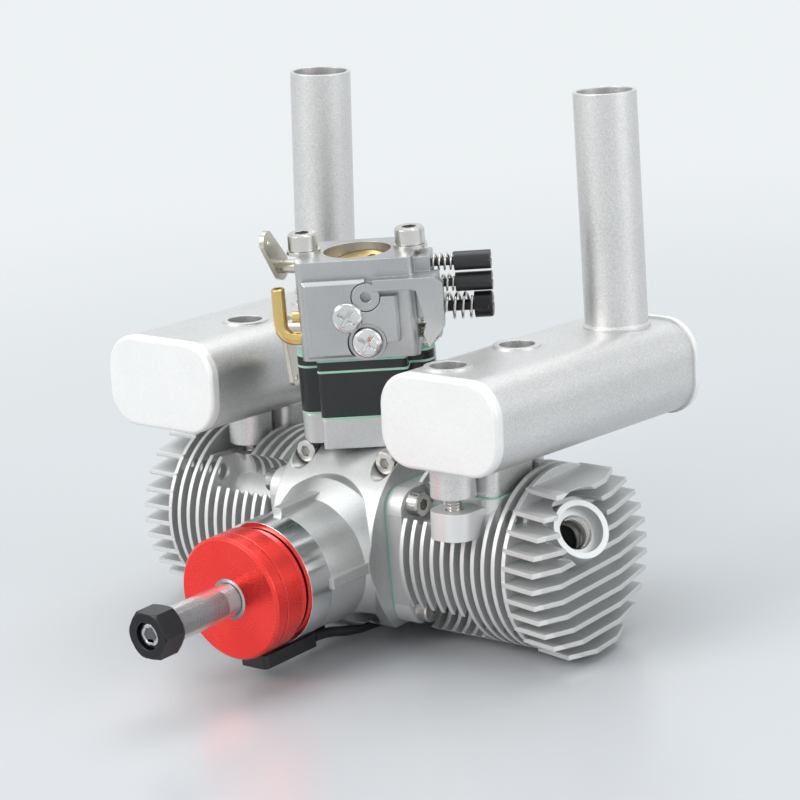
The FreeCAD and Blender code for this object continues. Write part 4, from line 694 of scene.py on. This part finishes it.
def build_socket_screw():
    """A lathed and knurled head with a hexagon socket, on a threaded shank. The values from
    head_foot to key_floor are shares of the head's radius or height, from its seat up."""
    tree, start, end = new_group(
        "socket_screw",
        (("Spots", "Geometry", None), ("Head Radius", "Float", 0.0035),
         ("Head Height", "Float", 0.004), ("Key", "Float", 0.003),
         ("Shank Radius", "Float", 0.002), ("Length", "Float", 0.01),
         ("Pitch", "Float", 0.0007), ("Knurl", "Float", 0.00008),
         ("Material", "Material", None)),
        (("Result", "Geometry"),),
        "GeometryNodeTree",
    )
    stations = 10
    sizes = start.outputs
    head, tall, shank = sizes["Head Radius"], sizes["Head Height"], sizes["Shank Radius"]
    sheet, around, along = unit_sheet(tree, screw_sides, stations)
    station = calc(tree, "ROUND", times(tree, along, stations - 1.0))
    sixth = minus(tree, calc(tree, "FRACT", times(tree, around, 6.0)), 0.5)
    flat = calc(tree, "DIVIDE", times(tree, sizes["Key"], 0.5),
                calc(tree, "COSINE", times(tree, sixth, math.pi / 3)))
    ridge = minus(tree, calc(tree, "FRACT", times(tree, around, knurl_ridges)), 0.5)
    groove = times(tree, calc(tree, "ABSOLUTE", ridge), 2.0)
    knurled = minus(tree, head, times(tree, groove, sizes["Knurl"]))
    foot = times(tree, head, head_foot)
    crown = times(tree, head, crown_radius)
    rim = times(tree, head, head_rim)
    edge = times(tree, tall, head_edge)
    low = times(tree, edge, knurl_foot)
    high = times(tree, tall, knurl_top)
    shoulder = times(tree, tall, crown_height)
    sunk = times(tree, tall, key_floor)
    radii = (0.0, foot, head, knurled, knurled, crown, rim, flat, flat, 0.0)
    heights = (0.0, 0.0, edge, low, high, shoulder, tall, tall, sunk, sunk)
    turned = wrap_round(tree, sheet, around, pick(tree, station, radii),
                        pick(tree, station, heights))
    core = minus(tree, shank, times(tree, sizes["Pitch"], thread_cut))
    thread = put(tree, "GeometryNodeGroup", {"node_tree": thread_tree}, Root=core,
                 Crest=shank, Pitch=sizes["Pitch"], Length=sizes["Length"])
    down = put(tree, "ShaderNodeCombineXYZ", None,
               Z=times(tree, sizes["Length"], shank_drop))
    lowered = put(tree, "GeometryNodeTransform", None, Geometry=thread.outputs[0],
                  Translation=down.outputs[0])
    both = tree.nodes.new("GeometryNodeJoinGeometry")
    tree.links.new(turned, both.inputs[0])
    tree.links.new(lowered.outputs[0], both.inputs[0])
    finish_tree(tree, start, end, both.outputs[0])
    return tree


def points_middle(points):
    """The middle of the box round some points, to put the solids in a fixed order."""
    low = Vector(min(point[k] for point in points) for k in range(3))
    high = Vector(max(point[k] for point in points) for k in range(3))
    return tuple(round(value, 5) for value in (low + high) / 2)


def read_solids(node):
    """The corner points of each separate solid of a CAD node, always in the same order."""
    form = bmesh.new()
    form.from_mesh(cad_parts[node].data)
    bmesh.ops.remove_doubles(form, verts=form.verts, dist=weld_gap)
    left = set(form.verts)
    solids = []
    while left:
        chain = [left.pop()]
        found = []
        while chain:
            corner = chain.pop()
            found.append(corner.co.copy())
            for edge in corner.link_edges:
                other = edge.other_vert(corner)
                if other in left:
                    left.remove(other)
                    chain.append(other)
        solids.append(sorted(found, key=tuple))
    form.free()
    return sorted(solids, key=points_middle)


def turning_axis(points):
    """The middle of a turned solid's corner points, and the axis that it is turned about."""
    spread = numpy.array([list(point) for point in points])
    middle = spread.mean(0)
    values, vectors = numpy.linalg.eigh((spread - middle).T @ (spread - middle))
    odd = max(range(3), key=lambda k: abs(values[k] - numpy.median(values)))
    return Vector(middle), Vector(vectors[:, odd]).normalized()


def read_screw(points):
    """A screw's seat, axis out through its head, and sizes, from its solid's corners."""
    middle, axis = turning_axis(points)
    reach = [(point - middle).dot(axis) for point in points]
    if abs(min(reach)) < max(reach):
        axis = -axis
    rows = sorted(((point - middle).dot(axis), (point - middle).cross(axis).length)
                  for point in points)
    widest = max(radius for _, radius in rows)
    head_rows = [along for along, radius in rows if radius > head_share * widest]
    seat, top, tip = min(head_rows), max(head_rows), rows[0][0]
    shank = max(radius for along, radius in rows if along < tip + tip_depth)
    return middle + axis * seat, axis, (widest, top - seat, shank, seat - tip)


def socket_screws(node, material):
    """Detailed screws in place of a node's plain ones, one piece for each size."""
    sizes = {}
    for points in read_solids(node):
        seat, axis, lengths = read_screw(points)
        label = tuple(round(value * steps_per_metre) for value in lengths)
        sizes.setdefault(label, []).append((seat, axis))
    for number, (label, spots) in enumerate(sorted(sizes.items())):
        head, tall, shank, length = (value / steps_per_metre for value in label)
        piece = grow(f"{node}_{number + 1}", screw_tree, spots, material, "engine", {
            "Head Radius": head, "Head Height": tall, "Key": tall * screw_key_share,
            "Shank Radius": shank, "Length": length, "Pitch": shank * screw_pitch_share})
        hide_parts(node)


screw_tree = build_socket_screw()
screw_steel = finish_material(
    "screw_steel", (0.56, 0.545, 0.52), (0.74, 0.725, 0.70), (0.92, 0.91, 0.90), 0.24,
    grain=0.3, clouds=0.6, bump=0.05, edge=0.15)
for node in ("case_screws", "cylinder_screws", "muffler_screws", "carb_bolts", "small_screws"):
    socket_screws(node, screw_steel)
dress(screw_steel, "carb_washers")

# Plug threads. A coil of steel wire is wound into each plug bore of the heads, as a thread
# insert that saves the soft casting when the plug is changed.
plug_direction = Vector((0.82, -0.29, 0.49)).normalized()
plug_middle = Vector((57.0, -40.0, 0.4)) * mm
insert_start = 12.0 * mm
insert_length = 8.4 * mm
insert_radius = 5.0 * mm
insert_wire = 0.42 * mm
insert_turns = 8.0
coil_steps = 36


def build_coil():
    """Wire wound along Z, with its ends cut square."""
    tree, start, end = new_group(
        "wound_coil",
        (("Spots", "Geometry", None), ("Coil Radius", "Float", 0.003),
         ("Wire Radius", "Float", 0.0004), ("Turns", "Float", 4.0),
         ("Length", "Float", 0.005), ("Sides", "Int", 10), ("Material", "Material", None)),
        (("Result", "Geometry"),),
        "GeometryNodeTree",
    )
    sizes = start.outputs
    line = put(tree, "GeometryNodeCurveSpiral", None, Resolution=coil_steps,
               Rotations=sizes["Turns"], Start_Radius=sizes["Coil Radius"],
               End_Radius=sizes["Coil Radius"], Height=sizes["Length"])
    wire = put(tree, "GeometryNodeCurvePrimitiveCircle", None, Resolution=sizes["Sides"],
               Radius=sizes["Wire Radius"])
    solid = put(tree, "GeometryNodeCurveToMesh", None, Curve=line.outputs[0],
                Profile_Curve=wire.outputs[0], Fill_Caps=True)
    finish_tree(tree, start, end, solid.outputs[0])
    return tree


coil_tree = build_coil()
for side, word in ((1, "right"), (-1, "left")):
    run = Vector((side * plug_direction.x, side * plug_direction.y, plug_direction.z))
    mouth = Vector((side * plug_middle.x, plug_middle.y, plug_middle.z)) + run * insert_start
    grow("plug_insert_" + word, coil_tree, [(mouth, run)], screw_steel, "engine", {
        "Coil Radius": insert_radius, "Wire Radius": insert_wire, "Turns": insert_turns,
        "Length": insert_length, "Sides": 4})

# Rear mount. Sawn from aluminium plate, with four threaded posts for the firewall's screws.
# It is bolted on the back of the case and closes the bore of the rear bearing.
mount_metal = finish_material(
    "mount_machined", (0.58, 0.58, 0.59), (0.70, 0.70, 0.71), (0.88, 0.88, 0.88), 0.32,
    grain=0.18, clouds=0.5, bump=0.08, edge=0.4)
dress(mount_metal, "rear_mount")

# Insulator, spacer and reed valve. Moulded black phenolic, which keeps the case's heat from
# the carburettor; its skin is smooth from the mould. All are stacked on the intake neck.
phenolic = finish_material(
    "phenolic_black", (0.010, 0.010, 0.011), (0.022, 0.022, 0.023), (0.07, 0.07, 0.07), 0.2,
    grain=0.5, clouds=0.6, bump=0.06, metal=0.0, edge=0.4, wear=0.5)
dress(phenolic, "insulator_block", "carb_spacer", "reed_valve")

# Carburettor body and covers. Pressure die-cast zinc alloy, dull grey. The pump cover and
# the metering cover are held on two sides of the body, and two long bolts hold the body.
zinc = finish_material(
    "zinc_die_cast", (0.40, 0.405, 0.41), (0.56, 0.565, 0.57), (0.80, 0.80, 0.80), 0.38,
    grain=0.3, clouds=0.55, bump=0.16, edge=0.35)
dress(zinc, "carb_body", "pump_cover", "metering_cover")

# Cover screws. Plated pan heads with a cross recess, pressed cold and rolled bright. They
# hold the carburettor's two covers on its body.
cross_sides = 96
dome_rows = 55.0
under_rows = 4
dome_power = 5.0
recess_depth = 1.1
recess_rise = 0.5
dome_share = 1.15
cross_share = 0.62
cross_slot = 1.1 * mm


def build_cross_screw():
    """A domed head with a cross pressed in its top, closed underneath, on a plain shank."""
    tree, start, end = new_group(
        "cross_screw",
        (("Spots", "Geometry", None), ("Head Radius", "Float", 0.0045),
         ("Head Height", "Float", 0.002), ("Cross", "Float", 0.0028),
         ("Slot", "Float", 0.0009), ("One Slot", "Float", 0.0),
         ("Shank Radius", "Float", 0.0015), ("Length", "Float", 0.008),
         ("Material", "Material", None)),
        (("Result", "Geometry"),),
        "GeometryNodeTree",
    )
    rows = int(dome_rows) + 1 + under_rows
    sizes = start.outputs
    head, tall, cross = sizes["Head Radius"], sizes["Head Height"], sizes["Cross"]
    sheet, around, along = unit_sheet(tree, cross_sides, rows)
    row = calc(tree, "ROUND", times(tree, along, rows - 1.0))
    out = calc(tree, "DIVIDE", calc(tree, "MINIMUM", row, dome_rows), dome_rows)
    angle = times(tree, around, 2 * math.pi)
    across = times(tree, out, head)
    x = calc(tree, "ABSOLUTE", times(tree, across, calc(tree, "COSINE", angle)))
    y = calc(tree, "ABSOLUTE", times(tree, across, calc(tree, "SINE", angle)))
    narrow = calc(tree, "MINIMUM", plus(tree, x, sizes["One Slot"]), y)
    wide = calc(tree, "MAXIMUM", x, y)
    in_slot = calc(tree, "LESS_THAN", narrow, times(tree, sizes["Slot"], 0.5))
    in_cross = calc(tree, "LESS_THAN", wide, cross)
    rise = times(tree, calc(tree, "DIVIDE", wide, cross), recess_rise)
    recess = times(tree, tall, minus(tree, recess_depth, rise))
    fall = minus(tree, 1.0, calc(tree, "POWER", out, dome_power), clamp=True)
    dome = times(tree, tall, calc(tree, "POWER", fall, 0.5))
    top = minus(tree, dome, times(tree, times(tree, in_slot, in_cross), recess))
    under = calc(tree, "GREATER_THAN", row, dome_rows + 0.5)
    over = minus(tree, 1.0, under)
    station = minus(tree, row, dome_rows + 1.0)
    shank, tip = sizes["Shank Radius"], times(tree, sizes["Length"], -1.0)
    shank_radius = pick(tree, station, (head, shank, shank, 0.0))
    shank_height = pick(tree, station, (0.0, 0.0, tip, tip))
    radius = plus(tree, times(tree, across, over), times(tree, under, shank_radius))
    height = plus(tree, times(tree, top, over), times(tree, under, shank_height))
    finish_tree(tree, start, end, wrap_round(tree, sheet, around, radius, height))
    return tree


cross_tree = build_cross_screw()
cover_screw_steel = finish_material(
    "cover_screw_steel", (0.60, 0.60, 0.59), (0.80, 0.80, 0.79), (0.93, 0.93, 0.92), 0.16,
    grain=0.4, clouds=0.7, bump=0.03, edge=0.15)
for number, points in enumerate(read_solids("carb_cover_screws")):
    seat, axis, (head, tall, shank, length) = read_screw(points)
    cover_screw = grow(
        f"cover_screw_{number + 1}", cross_tree, [(seat, axis)], cover_screw_steel, "engine", {
            "Head Radius": head, "Head Height": tall * dome_share,
            "Cross": head * cross_share, "Slot": cross_slot,
            "Shank Radius": shank, "Length": length})
    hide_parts("carb_cover_screws")

# Brass pieces. The fuel elbow and the plug are turned and pressed into the carburettor's
# body; the throttle and choke plates are stamped discs that close its bore.
brass = finish_material(
    "brass_turned", (0.62, 0.42, 0.14), (0.80, 0.60, 0.26), (0.90, 0.74, 0.42), 0.24,
    grain=0.5, clouds=0.7, bump=0.04, edge=0.25)
dress(brass, "brass_fittings", "throttle_plate", "choke_plate")

# Choke screw. A slotted brass screw holds the choke plate on its shaft, square to the plate
# and at its middle, and turns with it.
choke_shaft_radius = 2.0 * mm
choke_screw_sunk = 0.3 * mm


def add_choke_screw():
    """The screw on the upper side of the choke plate, found from the plate's own mesh."""
    points = [point for solid in read_solids("choke_plate") for point in solid]
    spread = numpy.array([list(point) for point in points])
    middle = Vector((spread.min(0) + spread.max(0)) / 2)
    _, vectors = numpy.linalg.eigh(numpy.cov(spread.T))
    square = Vector(vectors[:, 0])
    square = square if square.z > 0 else -square
    seat = middle + square * (choke_shaft_radius - choke_screw_sunk)
    grow("choke_plate_screw", cross_tree, [(seat, square)], brass, "choke", {
        "Head Radius": 1.9 * mm, "Head Height": 1.0 * mm, "Cross": 1.9 * mm,
        "Slot": 0.7 * mm, "One Slot": 1.0, "Shank Radius": 1.6 * mm, "Length": 1.2 * mm})


add_choke_screw()

# Throttle and choke shafts. Steel rod with a stamped lever riveted on the end, zinc plated;
# the clips that hold the sensor's lead under the case have the same plating.
plated = finish_material(
    "plated_steel", (0.50, 0.47, 0.40), (0.66, 0.63, 0.56), (0.85, 0.83, 0.78), 0.3,
    grain=0.4, clouds=0.6, bump=0.05, edge=0.3)
dress(plated, "throttle_shaft", "choke_shaft", "sensor_clips")

# Springs. Coils of bright spring wire: one under the head of each needle and of the idle
# screw, which stops it from turning by itself, and one that closes the throttle.
needle_wire = 0.33 * mm
needle_pitch = 1.7 * mm
idle_wire = 0.42 * mm
idle_pitch = 2.4 * mm
throttle_wire = 0.35 * mm
throttle_pitch = 1.2 * mm


def wind_springs(node, windings):
    """A real coil in place of each plain sleeve of a node, from its wire and its pitch."""
    for number, (points, (wire, pitch)) in enumerate(zip(read_solids(node), windings)):
        middle, axis = turning_axis(points)
        reach = [(point - middle).dot(axis) for point in points]
        outer = max((point - middle).cross(axis).length for point in points)
        start = middle + axis * min(reach)
        length = max(reach) - min(reach)
        piece = grow(
            f"{node}_{number + 1}", coil_tree, [(start + axis * wire, axis)],
            spring_wire, "engine", {
                "Coil Radius": outer - wire, "Wire Radius": wire,
                "Turns": (length - 2 * wire) / pitch, "Length": length - 2 * wire})
        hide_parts(node)


spring_wire = finish_material(
    "spring_wire", (0.50, 0.49, 0.46), (0.72, 0.70, 0.66), (0.85, 0.85, 0.85), 0.22,
    grain=0.3, clouds=0.6, bump=0.04, edge=0.1)
wind_springs("adjuster_springs", [
    (needle_wire, needle_pitch), (needle_wire, needle_pitch), (idle_wire, idle_pitch)])
wind_springs("throttle_spring", [(throttle_wire, throttle_pitch)])

# Needles and idle screw. The two fuel needles have caps of black nylon, turned by hand, and
# the idle stop screw is of steel, blackened in hot oxide salts.
black_nylon = finish_material(
    "black_nylon", (0.012, 0.012, 0.013), (0.026, 0.026, 0.028), (0.08, 0.08, 0.08), 0.36,
    grain=0.4, clouds=0.5, bump=0.1, metal=0.0, wear=0.5)
dress(black_nylon, "high_needle", "low_needle")
oxide = finish_material(
    "black_oxide", (0.012, 0.012, 0.014), (0.030, 0.030, 0.034), (0.14, 0.14, 0.15), 0.34,
    grain=0.3, clouds=0.6, bump=0.06, metal=0.6, edge=0.35)
dress(oxide, "idle_screw")

# Exhaust. The headers, the oval muffler bodies and their outlet pipes are rolled and welded
# aluminium, bead blasted to an even satin.
blasted = finish_material(
    "blasted_satin", (0.54, 0.535, 0.53), (0.82, 0.81, 0.805), (0.92, 0.92, 0.91), 0.44,
    grain=0.35, clouds=0.15, bump=0.55, edge=0.5)
dress(blasted, "muffler_body_right", "muffler_body_left", "exhaust_pipe_right",
      "exhaust_pipe_left", "exhaust_header_right", "exhaust_header_left")

# Muffler caps. Two pressed aluminium ends on each muffler, welded on round their rims.
# They are painted paler than the body: a painted highlight, for the light that falls on the
# front caps.
cap_painted_light = finish_material(
    "cap_painted_light", (0.86, 0.86, 0.85), (0.96, 0.96, 0.95), (0.97, 0.97, 0.96), 0.52,
    grain=0.5, clouds=0.3, bump=0.35, edge=0.6, metal=0.6)
dress(cap_painted_light, "muffler_caps_right", "muffler_caps_left")

# Ignition sensor. A magnetic pickup potted in a black nylon shell, screwed under the nose
# close to the hub's rim, with a nylon plug on the end of its lead.
dress(black_nylon, "sensor_body", "sensor_plug", "sensor_lead")

# Sensor lead. A round three-core lead in black sleeving. It leaves the potted sensor beside
# its foot, drops to the floor of the crankcase and is clipped along it up to its plug.
lead_diameter = 3.0 * mm
lead_route = [Vector(point) * mm for point in (
    (3.1, -81.0, -20.6), (3.1, -75.5, -20.6), (5.58, -67.5, -22.75),
    (7.69, -57.0, -22.75), (8.5, -46.5, -22.75), (8.5, -36.0, -22.75))]


def run_lead():
    """The lead as one smooth spline along its route, with the length that the spline has."""
    line = bpy.data.curves.new("ignition_lead", "CURVE")
    line.dimensions = "3D"
    line.resolution_u = 16
    line.bevel_depth = lead_diameter / 2
    line.bevel_resolution = 6
    line.use_fill_caps = True
    spline = line.splines.new("NURBS")
    spline.points.add(len(lead_route) - 1)
    for place, point in zip(spline.points, lead_route):
        place.co = (*point, 1.0)
    spline.order_u = 3
    spline.use_endpoint_u = True
    line.materials.append(black_nylon)
    lead = bpy.data.objects.new("ignition_lead", line)
    bpy.context.collection.objects.link(lead)
    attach(lead, "engine")
    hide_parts("sensor_lead")


run_lead()

# Propeller hub. Turned from aluminium bar, with thin grooves round it, and anodised red. It
# sits on the crankshaft in front of the nose, with a bright plated magnet in its rim.
red_anodised = turned_material(
    "red_anodised", (0.94, 0.040, 0.034), (1.0, 0.065, 0.055), (1.0, 0.42, 0.38), 0.27,
    pitch=0.16, depth=0.14, metal=0.75)
dress(red_anodised, "prop_hub")
magnet_bright = finish_material(
    "magnet_nickel", (0.60, 0.60, 0.60), (0.74, 0.73, 0.71), (0.88, 0.88, 0.87), 0.18,
    grain=0.3, clouds=0.6, bump=0.03, edge=0.2)
dress(magnet_bright, "hub_magnet")

# Propeller nut and sleeve. The hexagon nut is steel, blackened as the idle screw is, and a
# tube of clear nylon covers the thread between the nut and the hub.
dress(oxide, "prop_nut")
sleeve_clear = finish_material(
    "sleeve_clear", (0.93, 0.90, 0.90), (0.98, 0.97, 0.97), (1, 1, 1), 0.12,
    grain=0.4, clouds=0.7, bump=0.04, metal=0.0, edge=0.2,
    settings={"Transmission Weight": 0.92, "IOR": 1.45})
dress(sleeve_clear, "shaft_sleeve")
